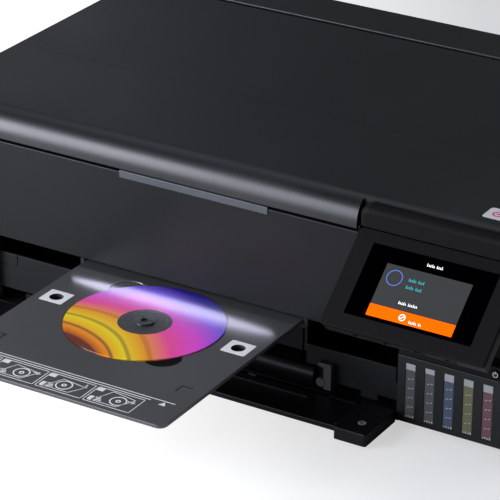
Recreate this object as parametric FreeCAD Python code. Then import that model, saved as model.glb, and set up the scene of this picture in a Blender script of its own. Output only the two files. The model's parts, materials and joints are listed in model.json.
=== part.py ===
"""Desktop ink-tank photo printer with a disc tray, as an assembly of separate pieces.

Frame: millimetres, +X to the right, +Y to the back, +Z up. The origin is the middle of the
body's footprint, on the surface that the printer stands on.
"""

import math
import os

import FreeCAD
import Part

V = FreeCAD.Vector

# ---- overall body ---------------------------------------------------------------------------
BODY_WIDTH = 523.0
BODY_DEPTH = 379.0
BODY_HEIGHT = 169.0
WALL = 2.5  # moulded outer walls
SEAT = 0.3  # gap between moulded pieces that are seated on each other
SEAM = 0.5  # visible seam between two outer pieces
LID_DEPTH = 21.8  # height of the lid's walls
SPLIT_GAP = 2.3  # dark gap under the lid
FASCIA_BOTTOM = 64.5
RIGHT = BODY_WIDTH / 2
LEFT = -RIGHT
BACK = BODY_DEPTH / 2
FRONT = -BACK
LID_Z = BODY_HEIGHT - LID_DEPTH
SPLIT_Z = LID_Z - SPLIT_GAP  # top edge of the fixed body
PANEL_BAY = 140.0  # width of the control panel's place
TANK_BAY = 103.9  # width of the ink tanks' housing
FASCIA_RIGHT = RIGHT - PANEL_BAY
HOUSING_LEFT = RIGHT - TANK_BAY
FACE_ROUND = 1.0  # rounding of the outer pieces' long edges
INNER = RIGHT - WALL - SEAT  # half width inside the side covers

# ---- feet and base --------------------------------------------------------------------------
FOOT_HEIGHT = 3.0
FOOT_RADIUS = 9.0
FOOT_ROUND = 0.8
FOOT_X = RIGHT - 31.5
FOOT_Y = BACK - 29.5
BASE_FLOOR = 2.5
BASE_TOP = FOOT_HEIGHT + BASE_FLOOR
BASE_FRONT = FRONT + 6.0
RUNNER_WIDTH = 14.0
RUNNER_INSET = 20.0
SILL_WIDTH = 12.0
SILL_FRONT = FRONT + 30.0

# ---- paper compartment ----------------------------------------------------------------------
BAY_LEFT = LEFT + 61.0
BAY_RIGHT = HOUSING_LEFT - 3.8
BAY_WALL = 2.5
BAY_BACK = 115.0
BAY_FRONT = FRONT + 11.0
DECK_TOP = 52.0
DECK_THICKNESS = 3.0
DECK_BACK = 120.0
DECK_FRONT = -160.0
DECK_STEP_Y = -115.0
SLIDE_CLEAR = 0.5  # sideways clearance of anything that slides

# ---- lower cassette -------------------------------------------------------------------------
LOWER_Z = 11.9
LOWER_SIDE_TOP = 16.4
LOWER_WALL = 1.5
LOWER_TOP = 22.3
LOWER_BACK = 106.0
LOWER_FACE_Y = FRONT + 12.0
LOWER_FACE_DEPTH = 2.5
LOWER_FACE_LEFT = 75.0
LOWER_FACE_TOP = 38.1
RACK_Y = (-40.0, -30.0)
RACK_HALF = 140.0
RACK_WIDTH = 2.0
RACK_HEIGHT = 0.6
LOWER_NOTCH_WIDTH = 3.4
LOWER_NOTCH_DEPTH = 10.0
GRIP_LEFT = -108.0
GRIP_RIGHT = 84.5
GRIP_BOTTOM = 6.9
GRIP_FRONT = FRONT + 5.4
GRIP_SHELF_FRONT = FRONT + 8.5
GRIP_SHELF_BACK = FRONT + 25.6
GRIP_SHELF_STEP = 5.0
GRIP_UNDERCUT = 2.6
GRIP_BELLY = 0.42  # where the pull's nose bulges most, as a share of its height
GUIDE_HALF_GAP = 105.0
GUIDE_CENTRE = -22.0
GUIDE_THICKNESS = 3.0
GUIDE_LENGTH = 60.0
GUIDE_FRONT = -60.0
GUIDE_FOOT = (16.0, 38.0, 1.6)  # reach, length and thickness of a guide's foot
GUIDE_FOOT_FRONT = -52.0

# ---- small locking lever on the lower cassette -----------------------------------------------
LEVER_LEFT = 92.6
LEVER_RIGHT = 99.4
LEVER_FRONT = FRONT + 6.1
LEVER_DEPTH = 5.6
LEVER_BOTTOM = 7.2
LEVER_TOP = 28.6
LEVER_ROUND = 0.7
LEVER_CAP = 3.4
LEVER_CAP_REACH = 4.4
KNOB_RADIUS = 3.6
KNOB_PROUD = 0.4
LEVER_PIVOT_X = 90.4
LEVER_PIVOT_Z = 12.6
LEVER_PIN_RADIUS = 1.5

# ---- upper cassette -------------------------------------------------------------------------
UPPER_RIGHT = 63.5
UPPER_FLOOR_Z = 24.0
UPPER_TOP = 47.3
UPPER_FACE_Y = FRONT + 7.5
UPPER_FACE_DEPTH = 2.5
UPPER_BOARD = 2.4
UPPER_LIFT = 0.8  # how far the upper cassette's inner wall clears the lower cassette
UPPER_LINE_DROP = 10.2
UPPER_LINE_REACH = 18.0
UPPER_LINE_WIDTH = 0.7
UPPER_LINE_DEPTH = 0.6
CASSETTE_ROUND = 0.6
UPPER_FACE_BOTTOM = 17.0
UPPER_FACE_RIGHT = -125.0
UPPER_INNER_Y = FRONT + 26.1
UPPER_BACK = 95.0
UPPER_WALL = 2.0
UPPER_HEIGHT = 16.0
RAIL_WIDTH = 5.0
RAIL_THICKNESS = 1.1

# ---- disc tray and disc ---------------------------------------------------------------------
DISC_RADIUS = 60.0
DISC_HOLE_RADIUS = 7.5
DISC_THICKNESS = 1.2
DISC_X = -20.0
DISC_Y = -250.0
TRAY_HALF_WIDTH = 95.8
TRAY_THICKNESS = 2.6
TRAY_TOP = 61.0
TRAY_FRONT = -376.1
TRAY_LENGTH = 262.0
TRAY_CORNER = 6.0
TRAY_ROUND = 0.5
DISC_ROUND = 0.2
HUB_CLEAR = 0.15
HUB_ROUND = 0.7
HUB_DIMPLE = (3.0, 1.0)  # radius and depth
DISC_POCKET = 0.6
DISC_RING = 0.8
NOTCH_RADIUS = 14.0
NOTCH_OFFSET_X = 41.0
NOTCH_OFFSET_Y = 40.0
MARK_HOLE_RADIUS = 5.4
MARK_OFFSET = 79.0
CLAMP_HEIGHT = 1.4
CHANNEL_WALL = 4.0
CHANNEL_TOP = 64.2
CHANNEL_BACK = -112.0
CHANNEL_FLOOR = 3.0
CHANNEL_FRONT = FRONT + 3.5
CHANNEL_ROUND = 0.8

# ---- flip-down front cover ------------------------------------------------------------------
FLAP_PIVOT_Y = FRONT + 3.0
FLAP_PIVOT_Z = 4.2
FLAP_BOTTOM = 1.8
FLAP_TOP = 6.2
FLAP_REAR = FRONT - 0.7
FLAP_FRONT = FRONT - 36.5
FLAP_LEFT = BAY_LEFT + 1.0
FLAP_RIGHT = HOUSING_LEFT - 0.6
FLAP_WELL_Z = 4.3
FLAP_WELL_RIGHT = 88.0
FLAP_RIM = 3.0
FLAP_STEP_Y = FRONT - 7.7
FLAP_ROUND = 0.8
BLOCK_WIDTH = 26.5
BLOCK_FRONT = FRONT - 46.0
BLOCK_CORNER = 2.0
BLOCK_TOP = 11.5
LEFT_BLOCK_TOP = 8.0
RIB_WIDTH = 6.0
RIB_HEIGHT = 1.0
HINGE_PIN_RADIUS = 1.2
KNUCKLE_RADIUS = 2.2
KNUCKLE_LENGTH = 12.0
EAR_LENGTH = 5.0
EAR_RADIUS = 2.2
HINGE_REACH = 12.0  # half length of the bore for a pin
FLAP_HINGES = (-170.0, -20.0, 112.0)

# ---- front fascia and the tilting control panel ----------------------------------------------
LOW_FLANGE = (5.5, 1.5)  # depth and thickness of the fascia's lower flange
GRIP_STRIP = (-81.0, 47.5)
GRIP_STRIP_BOTTOM = SPLIT_Z - 4.6
GRIP_STRIP_TOP = SPLIT_Z + 1.4
GRIP_STRIP_DEPTH = 1.6
GRIP_STRIP_PROUD = 0.7
GRIP_STRIP_ROUND = 0.5
GRIP_STRIP_CLEAR = 0.1
PANEL_LEFT = FASCIA_RIGHT + 2.5
PANEL_RIGHT = RIGHT - 8.5
PANEL_LENGTH = 78.0
PANEL_THICKNESS = 15.0
PANEL_BEZEL = 3.6
PANEL_TILT = 49.0
PANEL_SEAM_Z = BODY_HEIGHT - 19.0
PANEL_PIVOT_DOWN = 4.0
PANEL_PIVOT_IN = 6.0
PANEL_PIVOT_Y = (
    FRONT - PANEL_PIVOT_DOWN * math.sin(math.radians(PANEL_TILT))
    + PANEL_PIVOT_IN * math.cos(math.radians(PANEL_TILT))
)
PANEL_PIVOT_Z = (
    PANEL_SEAM_Z - PANEL_PIVOT_DOWN * math.cos(math.radians(PANEL_TILT))
    - PANEL_PIVOT_IN * math.sin(math.radians(PANEL_TILT))
)
PANEL_PIN_RADIUS = 2.0
PANEL_PIN_LENGTH = 1.6
PANEL_CORNER = 3.0
PANEL_ROUND = 0.8
PANEL_BACK_INSET = 1.2
PANEL_BACK_ROUND = 2.0
PANEL_SLOT = (9.0, 6.0)  # width and height of a cooling slot
PANEL_SLOT_DEPTH = (2.5, 6.5)
PANEL_SLOT_PITCH = 24.0
PANEL_SLOT_COUNT = 4
DISPLAY_LEFT = PANEL_LEFT + 15.0
DISPLAY_RIGHT = PANEL_RIGHT - 15.0
DISPLAY_SINK = 0.25
DISPLAY_CLEAR = 0.1
DISPLAY_TOP = 9.6
DISPLAY_BOTTOM = 66.1
DISPLAY_THICKNESS = 2.0
RECESS_Y = FRONT + 13.5
RECESS_WALL = 1.5
STRIP_TOP = 67.6
CAP_TOP = BODY_HEIGHT - 3.0
CAP_BACK = FRONT + 9.1
CAP_SHELF = 2.4
CAP_CORNER = 8.0
CAP_ROUND = 5.0
BUTTON_X = RIGHT - 26.5
BUTTON_Z = 61.8
BUTTON_RADIUS = 3.4
BUTTON_CLEAR = 0.3
BUTTON_FLANGE = 1.4
BUTTON_LIP = 0.6
BUTTON_LENGTH = 5.0
BUTTON_PROUD = 0.9
BUTTON_ROUND = 0.5
CARD_SLOT_X = (RIGHT - 89.5, RIGHT - 61.5)
CARD_SLOT_Z = (60.8, 65.2)

# ---- ink tanks ------------------------------------------------------------------------------
TANK_COUNT = 6
HOUSING_FRONT = FRONT - 0.5
HOUSING_BACK = -118.0
HOUSING_BOTTOM = 3.0
HOUSING_TOP = 57.3
HOUSING_WALL = 2.0
HOUSING_ROUND = 0.8
HOUSING_TOE = 1.2
WINDOW_LEFT = HOUSING_LEFT + 6.1
WINDOW_PITCH = 15.48
WINDOW_WIDTH = 8.1
WINDOW_Z = (8.1, 51.9)
WINDOW_RECESS = 0.6
WINDOW_CLEAR = 0.1
TANK_BACK_GAP = 2.0
TANK_ROUND = 0.8
TANK_CAP_ROUND = 0.8
TANK_WIDTH = 13.4
TANK_TOP = 53.4
TANK_CAP_RADIUS = 4.6
TANK_CAP_TOP = 60.0
TANK_NECK_RADIUS = 3.2
TANK_NECK_HEIGHT = 2.0
TANK_NECK_BACK = 12.0

# ---- lid and scanner ------------------------------------------------------------------------
LID_SETBACK = 75.6  # from the back of the body to the lid's rear edge
LID_REAR = BACK - LID_SETBACK
LID_EDGE = 18.0
LID_BARREL = 8.0
LID_SKIN = 2.5
LID_NOTCH_X = FASCIA_RIGHT - 1.0
LID_NOTCH_Y = FRONT + 10.5
LID_SEAM = (0.6, 0.5)  # width and depth of the line across the lid
RIB_REACH = 14.0
LID_SEAM_Y = -63.5
LINER_THICKNESS = 2.5
PAD_THICKNESS = 2.0
PIVOT_Y = LID_REAR - LID_BARREL
LID_PIVOT_Z = BODY_HEIGHT - LID_BARREL
HINGE_INSET = 55.5
HINGE_X = RIGHT - HINGE_INSET
HINGE_PLATE = 3.0
HINGE_GAP = 0.5
HINGE_HEAD = 4.4
HINGE_FOOT = (12.0, 3.0)  # length and thickness
HINGE_DROP = 14.0
HINGE_CLEAR_TOP = 0.5
LID_PIN_RADIUS = 2.0
HINGE_NOTCH_HALF = 6.4
HINGE_NOTCH = (HINGE_X - HINGE_NOTCH_HALF, HINGE_X + HINGE_NOTCH_HALF)
GLASS_X = (-172.0, 132.0)
GLASS_Y = (-116.0, 86.0)
GLASS_THICKNESS = 3.0
GLASS_LEDGE = 4.0
PAD_GROW = 6.0
PAD_CORNER = 3.0
SCANNER_FRONT = FRONT + 21.0
SCANNER_HEIGHT = 20.5
SCANNER_DROP = 0.4  # below the top edge of the fixed body
SCANNER_TOP = SPLIT_Z - SCANNER_DROP
SCANNER_BOTTOM = SCANNER_TOP - SCANNER_HEIGHT
SCANNER_INSET = 6.5
SCANNER_HALF = RIGHT - SCANNER_INSET
SCANNER_SKIN = 2.0
SCANNER_SETBACK = 15.9  # from the lid's rear edge
SCANNER_REAR = LID_REAR - SCANNER_SETBACK
SCANNER_GAP = 2.5  # between the scanner and the fascia's flange, which its edge swings past
GLASS_RIM = 2.0
GLASS_SEAT = 1.5
GLASS_CLEAR = 0.2
BAR_WIDTH = 16.0
BAR_START = -168.0
BAR_LIFT = 3.5  # above the scanner's underside
BAR_DROP = 3.9  # below its upper face
BAR_BOTTOM = SCANNER_BOTTOM + BAR_LIFT
BAR_TOP = SCANNER_TOP - BAR_DROP
BAR_INSET = 3.0
BAR_ROUND = 1.0
LENS_INSET = (5.0, 8.0)
LENS_DEPTH = 1.2
SCAN_ROD_RADIUS = 3.0
SCAN_ROD_Y = -15.0
SCAN_ROD_LIFT = 8.0
SCAN_ROD_Z = SCANNER_BOTTOM + SCAN_ROD_LIFT

# ---- rear paper feed ------------------------------------------------------------------------
FEED_COVER_FRONT = LID_REAR + SEAM
FEED_SETBACK = 22.7  # from the back of the body to the cover's rear edge
FEED_COVER_REAR = BACK - FEED_SETBACK
FEED_PIVOT_Y = FEED_COVER_REAR - LID_BARREL
REAR_STEP = 19.0
REAR_TOP_Z = BODY_HEIGHT - REAR_STEP
REAR_TOP_THICKNESS = 2.5
FEED_HINGE_INSET = 21.5
FEED_HINGE_X = RIGHT - FEED_HINGE_INSET
FEED_POST_DROP = 8.0
FEED_RIB_REACH = 12.0
FEED_SLOPE_INSET = (31.5, 1.4)  # from the back and from the top of the fixed body
FEED_SLOPE_TOP = (BACK - FEED_SLOPE_INSET[0], SPLIT_Z - FEED_SLOPE_INSET[1])
FEED_SLOPE_FOOT = (112.0, 60.0)
FEED_HALF_WIDTH = 170.0
FEED_PLATE = 2.5
FEED_CHEEK = 3.0
FEED_CHEEK_REACH = (16.0, 6.0)  # at the top and at the foot
FEED_STAY_X = (-120.0, 0.0, 120.0)
FEED_STAY_Z = (14.0, 3.0)  # below the top of the slope
VENT_COUNT = 9
VENT_LEFT = -150.0
VENT_PITCH = 9.0
VENT_WIDTH = 3.0
VENT_Z = (60.0, 110.0)
CUT_DEPTH = 10.0

# ---- print mechanism ------------------------------------------------------------------------
FRAME_INSET = 21.5
FRAME_HALF = RIGHT - FRAME_INSET
FRAME_SHEET = 2.0
FRAME_FRONT = -117.0
FRAME_BACK = -40.0
FRAME_CLEAR = 6.0  # under the scanner
FRAME_TOP = SCANNER_BOTTOM - FRAME_CLEAR
FRAME_PATH_Z = 67.0
FRAME_LIP = 10.0
FRAME_WINDOW_X = (-150.0, -50.0, 50.0)
FRAME_WINDOW_WIDTH = 48.0
FRAME_WINDOW_Z = (78.0, 96.0)
SHELF_REACH = (9.0, 8.0)  # left and right of a pulley
SHELF_DROP = 1.5
LEG_WIDTH = 4.0
LEG_LENGTH = 20.0
LEG_FRONT_Y = -100.0
LEG_BACK_Y = (80.0, 90.0)  # left and right
ROD_RADIUS = 4.0
ROD_Y = -52.0
ROD_DROP = 14.0
ROD_Z = FRAME_TOP - ROD_DROP
RUN_CLEAR = 0.05
CARRIAGE_WIDTH = 88.0
CARRIAGE_PARK = 33.5  # from the right side when it is parked
CARRIAGE_X = (RIGHT - CARRIAGE_PARK - CARRIAGE_WIDTH, RIGHT - CARRIAGE_PARK)
CARRIAGE_Y = (-115.0, -68.0)
CARRIAGE_DROP = 6.0
CARRIAGE_Z = (70.0, FRAME_TOP - CARRIAGE_DROP)
CARRIAGE_WALL = 2.5
CARRIAGE_ROUND = 2.0
BEARING_WALL = 3.5
BEARING_INSET = 6.0
BEARING_ARM = 5.0
CLIP_INSET = 20.0
CLIP_HALF = 4.0
DAMPER_LEFT = 10.0
DAMPER_PITCH = 13.0
DAMPER_WIDTH = 10.0
DAMPER_COUNT = 5
HEAD_INSET = 18.0
HEAD_ROUND = 0.8
HEAD_BOTTOM = 66.6
BELT_Y = -52.0
BELT_DROP = 18.0  # below the guide rod
BELT_Z = ROD_Z - BELT_DROP
BELT_HEIGHT = 6.0
BELT_THICKNESS = 1.2
PULLEY_RADIUS = 6.0
PULLEY_INSET = (14.0, 10.0)  # from the frame's left and right ends
PULLEY_X = (PULLEY_INSET[0] - FRAME_HALF, FRAME_HALF - PULLEY_INSET[1])
PULLEY_PIN = 2.0
PULLEY_HUB = 3.5
HUB_PROUD = 1.2
PULLEY_HOLES = (6, 4.6, 0.6)  # count, ring radius and hole radius
BELT_MOTOR_RADIUS = 8.0
FEED_MOTOR_RADIUS = 9.0
FEED_MOTOR_LENGTH = 30.0
FEED_Y = -60.0
FEED_RADIUS = 2.8
FEED_Z = 55.3
FEED_WHEEL_X = FRAME_HALF + 1.0
FEED_WHEEL_WIDTH = 5.0
FEED_WHEEL_RADIUS = 9.0
FEED_HOLES = (5, 1.6)  # count and radius
SHAFT_END = 2.0
PLATEN_Y = (-108.0, -66.0)
PLATEN_TOP = 57.9
GUIDE_Y = (-54.0, 100.0)
PLATEN_INSET = (10.5, 21.8)  # from the bay's left and right walls
PLATEN_X = (BAY_LEFT + PLATEN_INSET[0], BAY_RIGHT - PLATEN_INSET[1])
RIB_PITCH = 15.0
RIB_THICK = 1.6
RIB_DROP = 1.2
CAP_STATION_TOP = 65.8
CAP_STATION_Y = (-113.0, -68.0)
CAP_STATION_DROP = 4.0
CUP_COUNT = 3
CUP_PITCH = 22.0
CUP_SIZE = (18.0, 29.0)  # width and length of a cup
CUP_WALL = 2.0
CUP_DEPTH = 3.0
POWER_BOX_X = (RIGHT - 99.5, RIGHT - 13.5)
POWER_BOX_Y = (-60.0, 80.0)
POWER_BOX_TOP = 44.0
POWER_BOX_ROUND = 1.5
POWER_SLOT_Y = (-40.0, 60.0)
POWER_SLOTS = (7, 9.0, 3.0, 3.0)  # count, pitch, width and depth
LEAD_HEIGHT = 8.0
PORTS = ((30.0, 46.0, 24.0, 36.0), (52.0, 68.0, 24.0, 38.0), (76.0, 90.0, 25.0, 34.0))
PORT_WALL = 1.6
PORT_DEPTH = 9.0
BOARD_X = (20.0, RIGHT - 71.5)
BOARD_Y = BACK - 17.5
BOARD_Z = (12.0, 96.0)
BOARD_THICKNESS = 1.6
CHIP_HEIGHT = 2.2
CHIPS = ((50, 26, 50, 26), (90, 16, 56, 12), (120, 30, 30, 10), (150, 12, 60, 20))  # x, width, z, height
INLET_X = (RIGHT - 57.5, RIGHT - 31.5)
INLET_Z = (16.0, 36.0)
INLET_DEPTH = 24.0
INLET_MOUTH = 16.0
INLET_WALL = 3.0
INLET_FOOT = 6.0
BLADE_GAP = 10.0
BLADE_WIDTH = 2.0
BLADE_LENGTH = 12.0
BLADE_INSET = 7.0
SCREW_RADIUS = 3.0
SCREW_X = (LEFT + 21.5, -90.0, 110.0, RIGHT - 16.5)
SCREW_Z = 20.0
SCREW_CROSS = (2.0, 0.4, 0.8)  # half length, half width and depth of the cross
SCREW_ROUND = 0.6
SCREW_HEAD = 1.6


# ---- helpers --------------------------------------------------------------------------------
def box(x0, x1, y0, y1, z0, z1):
    """An upright box between two corners."""
    return Part.makeBox(x1 - x0, y1 - y0, z1 - z0, V(x0, y0, z0))


def rod(axis, start, end, a, b, radius):
    """A round bar along X, Y or Z from start to end, centred on the other two coordinates."""
    at = {"x": V(start, a, b), "y": V(a, start, b), "z": V(a, b, start)}[axis]
    way = {"x": V(1, 0, 0), "y": V(0, 1, 0), "z": V(0, 0, 1)}[axis]
    return Part.makeCylinder(radius, end - start, at, way)


def wire_face(edges):
    """The flat face inside a closed loop of edges."""
    return Part.Face(Part.Wire(Part.__sortEdges__(edges)))


def prism_x(points, x0, x1):
    """A straight-sided outline of (y, z) points, carried along X."""
    loop = Part.makePolygon([V(x0, y, z) for y, z in [*points, points[0]]])
    return Part.Face(loop).extrude(V(x1 - x0, 0, 0))


def prism_z(points, z0, z1):
    """A straight-sided outline of (x, y) points, carried up Z."""
    loop = Part.makePolygon([V(x, y, z0) for x, y in [*points, points[0]]])
    return Part.Face(loop).extrude(V(0, 0, z1 - z0))


def join(*shapes):
    """One solid from several that touch."""
    return shapes[0].multiFuse(list(shapes[1:])).removeSplitter()


def soften(shape, radius, wanted):
    """Round the edges that the test picks."""
    edges = [e for e in shape.Edges if wanted(e)]
    return shape.makeFillet(radius, edges) if edges else shape


def runs(edge, axis):
    """Whether a straight edge runs along X, Y or Z."""
    if not isinstance(edge.Curve, Part.Line):
        return False
    way = edge.Vertexes[-1].Point - edge.Vertexes[0].Point
    parts = {"x": abs(way.x), "y": abs(way.y), "z": abs(way.z)}
    return parts[axis] > 0.999 * way.Length


def near(value, target):
    """Whether two lengths agree to a hundredth."""
    return abs(value - target) < 0.01


def mirrored(shape):
    """The shape reflected from right to left."""
    return shape.mirror(V(0, 0, 0), V(1, 0, 0))


def stadium(x0, x1, y, radius, z0, z1):
    """A flat bar with round ends that lies along X."""
    return join(
        box(x0, x1, y - radius, y + radius, z0, z1),
        rod("z", z0, z1, x0, y, radius),
        rod("z", z0, z1, x1, y, radius),
    )


# ---- base, covers and feet ------------------------------------------------------------------
def flap_ears():
    """The round-nosed ears on the base that hold the front cover's pins."""
    ears = []
    for x in FLAP_HINGES:
        for side in (-1, 1):
            near_x = x + side * (KNUCKLE_LENGTH / 2 + SEAT)
            x0, x1 = sorted((near_x, near_x + side * EAR_LENGTH))
            nose = rod("x", x0, x1, FLAP_PIVOT_Y, FLAP_PIVOT_Z, EAR_RADIUS)
            root = box(x0, x1, FLAP_PIVOT_Y, BASE_FRONT + 1, FOOT_HEIGHT, BASE_TOP)
            ears.append(join(nose, root))
    return ears


def base_pan():
    floor = box(-INNER, INNER, BASE_FRONT, BACK - WALL - SEAT, FOOT_HEIGHT, BASE_TOP)
    housing = box(
        HOUSING_LEFT - SEAT, RIGHT, FRONT - 1, HOUSING_BACK + SEAT, FOOT_HEIGHT - 1, BASE_TOP + 1
    )
    runner_top = LOWER_Z - SEAT
    runner_front = LOWER_FACE_Y + LOWER_FACE_DEPTH + SEAT
    runners = [
        box(x, x + RUNNER_WIDTH, runner_front, BAY_BACK, BASE_TOP, runner_top)
        for x in (
            BAY_LEFT + RUNNER_INSET, (BAY_LEFT + BAY_RIGHT) / 2, BAY_RIGHT - RUNNER_INSET - RUNNER_WIDTH
        )
    ]
    pan = join(floor.cut(housing), *runners, *flap_ears())
    bores = [
        rod("x", x - HINGE_REACH, x + HINGE_REACH, FLAP_PIVOT_Y, FLAP_PIVOT_Z, HINGE_PIN_RADIUS + RUN_CLEAR)
        for x in FLAP_HINGES
    ]
    return pan.cut(Part.makeCompound(bores))


def feet():
    """A foot near each corner and one in the middle, where the paper's weight bears."""
    spots = [(0.0, 0.0), *((x, y) for x in (-FOOT_X, FOOT_X) for y in (-FOOT_Y, FOOT_Y))]
    pads = [rod("z", 0, FOOT_HEIGHT, x, y, FOOT_RADIUS) for x, y in spots]
    return Part.makeCompound([soften(pad, FOOT_ROUND, lambda e: near(e.CenterOfMass.z, 0)) for pad in pads])


def side_cover(sign):
    """A side wall with a turned-in flange along its bottom and its back."""
    wall = box(RIGHT - WALL, RIGHT, FRONT + WALL + SEAM, BACK - WALL - SEAM, BASE_TOP, SPLIT_Z)
    sill = box(RIGHT - SILL_WIDTH, RIGHT, SILL_FRONT, BACK - SILL_WIDTH, BASE_TOP, BASE_TOP + WALL)
    shape = join(wall, sill)
    shape = soften(shape, FACE_ROUND, lambda e: runs(e, "y") and near(e.CenterOfMass.x, RIGHT))
    if sign > 0:
        tanks = box(0, RIGHT + 1, FRONT - 1, HOUSING_BACK + SEAM, 0, HOUSING_TOP + SEAM)
        mount = box(0, RIGHT + 1, FRONT - 1, RECESS_Y + RECESS_WALL + SEAT, 0, BODY_HEIGHT)
        return shape.cut(tanks).cut(mount)
    return mirrored(shape)


def rear_cover():
    """The back wall with its vents and port openings, and the low shelf above it."""
    wall = box(LEFT, RIGHT, BACK - WALL, BACK, BASE_TOP, REAR_TOP_Z)
    shelf = box(LEFT, RIGHT, FEED_COVER_REAR + SEAM, BACK, REAR_TOP_Z - REAR_TOP_THICKNESS, REAR_TOP_Z)
    shape = join(wall, shelf)
    shape = soften(shape, FACE_ROUND, lambda e: runs(e, "x") and near(e.CenterOfMass.z, REAR_TOP_Z))
    posts = []
    for sign in (-1, 1):
        x0, x1 = sorted((sign * FEED_HINGE_X, sign * (FEED_HINGE_X + HINGE_PLATE)))
        post = box(
            x0, x1, FEED_PIVOT_Y - HINGE_HEAD, BACK - 1, SPLIT_Z - FEED_POST_DROP, REAR_TOP_Z - 1
        )
        neck = box(
            x0, x1, FEED_PIVOT_Y - HINGE_HEAD, FEED_PIVOT_Y + HINGE_HEAD, SPLIT_Z, LID_PIVOT_Z
        )
        head = rod("x", x0, x1, FEED_PIVOT_Y, LID_PIVOT_Z, HINGE_HEAD)
        reach = HINGE_PLATE + SEAM
        pin = rod("x", x0 - reach, x1 + reach, FEED_PIVOT_Y, LID_PIVOT_Z, LID_PIN_RADIUS)
        posts += [post, neck, head, pin]
    shape = join(shape, *posts)
    starts = [VENT_LEFT + VENT_PITCH * i for i in range(VENT_COUNT)]
    vents = [box(x, x + VENT_WIDTH, BACK - CUT_DEPTH, BACK + 1, *VENT_Z) for x in starts]
    sockets = [
        box(x0 - SEAT, x1 + SEAT, BACK - CUT_DEPTH, BACK + 1, z0 - SEAT, z1 + SEAT)
        for x0, x1, z0, z1 in ((*INLET_X, *INLET_Z), *PORTS)
    ]
    return shape.cut(Part.makeCompound([*vents, *sockets]))


# ---- front fascia, control panel mount and cap ----------------------------------------------
def front_panel():
    plate = box(LEFT, FASCIA_RIGHT, FRONT, FRONT + WALL, FASCIA_BOTTOM, SPLIT_Z)
    column = box(LEFT, BAY_LEFT - SEAT, FRONT, FRONT + WALL, BASE_TOP, FASCIA_BOTTOM)
    flange_back = SCANNER_FRONT - SCANNER_GAP
    top_flange = box(LEFT + WALL, FASCIA_RIGHT, FRONT, flange_back, SPLIT_Z - WALL, SPLIT_Z)
    low_back, low_top = FRONT + LOW_FLANGE[0], FASCIA_BOTTOM + LOW_FLANGE[1]
    low_flange = box(BAY_LEFT, FASCIA_RIGHT, FRONT, low_back, FASCIA_BOTTOM, low_top)
    shape = join(plate, column, top_flange, low_flange)
    shape = soften(shape, FACE_ROUND, lambda e: runs(e, "x") and near(e.CenterOfMass.y, FRONT))
    seat = box(*GRIP_STRIP, FRONT - 1, FRONT + GRIP_STRIP_DEPTH, GRIP_STRIP_BOTTOM, SPLIT_Z + 1)
    return shape.cut(seat)


def grip_strip():
    strip = box(
        GRIP_STRIP[0] + GRIP_STRIP_CLEAR, GRIP_STRIP[1] - GRIP_STRIP_CLEAR, FRONT - GRIP_STRIP_PROUD,
        FRONT + GRIP_STRIP_DEPTH, GRIP_STRIP_BOTTOM, GRIP_STRIP_TOP,
    )
    return soften(strip, GRIP_STRIP_ROUND, lambda e: runs(e, "x") and e.CenterOfMass.y < FRONT)


def panel_mount():
    """The recess that the control panel folds into, with the strip of sockets under it."""
    left = FASCIA_RIGHT + SEAM
    floor_z = STRIP_TOP - RECESS_WALL
    recess_back = RECESS_Y + RECESS_WALL
    shape = join(
        box(left, RIGHT, RECESS_Y, recess_back, floor_z, SPLIT_Z),
        box(HOUSING_LEFT, RIGHT, RECESS_Y, recess_back, HOUSING_TOP + SEAT, STRIP_TOP),
        box(left, PANEL_LEFT - SEAM, FRONT, RECESS_Y, floor_z, SPLIT_Z),
        box(PANEL_RIGHT + SEAM, RIGHT, FRONT, RECESS_Y, HOUSING_TOP + SEAT, SPLIT_Z),
        box(left, PANEL_LEFT - SEAM, FRONT, CAP_BACK, SPLIT_Z - 1, PANEL_SEAM_Z),
        box(PANEL_RIGHT + SEAM, RIGHT, FRONT, CAP_BACK, SPLIT_Z - 1, PANEL_SEAM_Z),
        box(left, RIGHT, CAP_BACK - RECESS_WALL, CAP_BACK, PANEL_SEAM_Z - CAP_SHELF, PANEL_SEAM_Z),
        box(HOUSING_LEFT, RIGHT, FRONT, FRONT + WALL, HOUSING_TOP + SEAT, STRIP_TOP),
        box(left, RIGHT, FRONT, RECESS_Y, floor_z, STRIP_TOP),
    )
    pins = rod(
        "x", PANEL_LEFT - PANEL_PIN_LENGTH - SEAT, PANEL_RIGHT + PANEL_PIN_LENGTH + SEAT,
        PANEL_PIVOT_Y, PANEL_PIVOT_Z, PANEL_PIN_RADIUS + RUN_CLEAR,
    )
    button = rod("y", FRONT - 1, FRONT + WALL + 1, BUTTON_X, BUTTON_Z, BUTTON_RADIUS + BUTTON_CLEAR)
    slot = box(*CARD_SLOT_X, FRONT - 1, FRONT + WALL + 1, *CARD_SLOT_Z)
    return shape.cut(Part.makeCompound([pins, button, slot]))


def panel_cap():
    """The fixed cap that closes the body above the control panel."""
    left = FASCIA_RIGHT + SEAM
    z0 = PANEL_SEAM_Z + SEAT
    shape = box(left, RIGHT, FRONT, CAP_BACK, z0, CAP_TOP)
    shape = soften(shape, CAP_CORNER, lambda e: runs(e, "y") and near(e.CenterOfMass.x, left)
                   and e.CenterOfMass.z > CAP_TOP - 1)
    return soften(shape, CAP_ROUND, lambda e: near(e.CenterOfMass.y, FRONT) and e.CenterOfMass.z > z0 + 1
                  and not runs(e, "z"))


def power_button():
    y0 = FRONT - BUTTON_PROUD
    stem = rod("y", y0, y0 + BUTTON_LENGTH, BUTTON_X, BUTTON_Z, BUTTON_RADIUS)
    stem = soften(stem, BUTTON_ROUND, lambda e: near(e.CenterOfMass.y, y0))
    flange_y = FRONT + WALL + SEAT + BUTTON_FLANGE
    flange = rod("y", FRONT + WALL + SEAT, flange_y, BUTTON_X, BUTTON_Z, BUTTON_RADIUS + BUTTON_LIP)
    return join(stem, flange)


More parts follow.
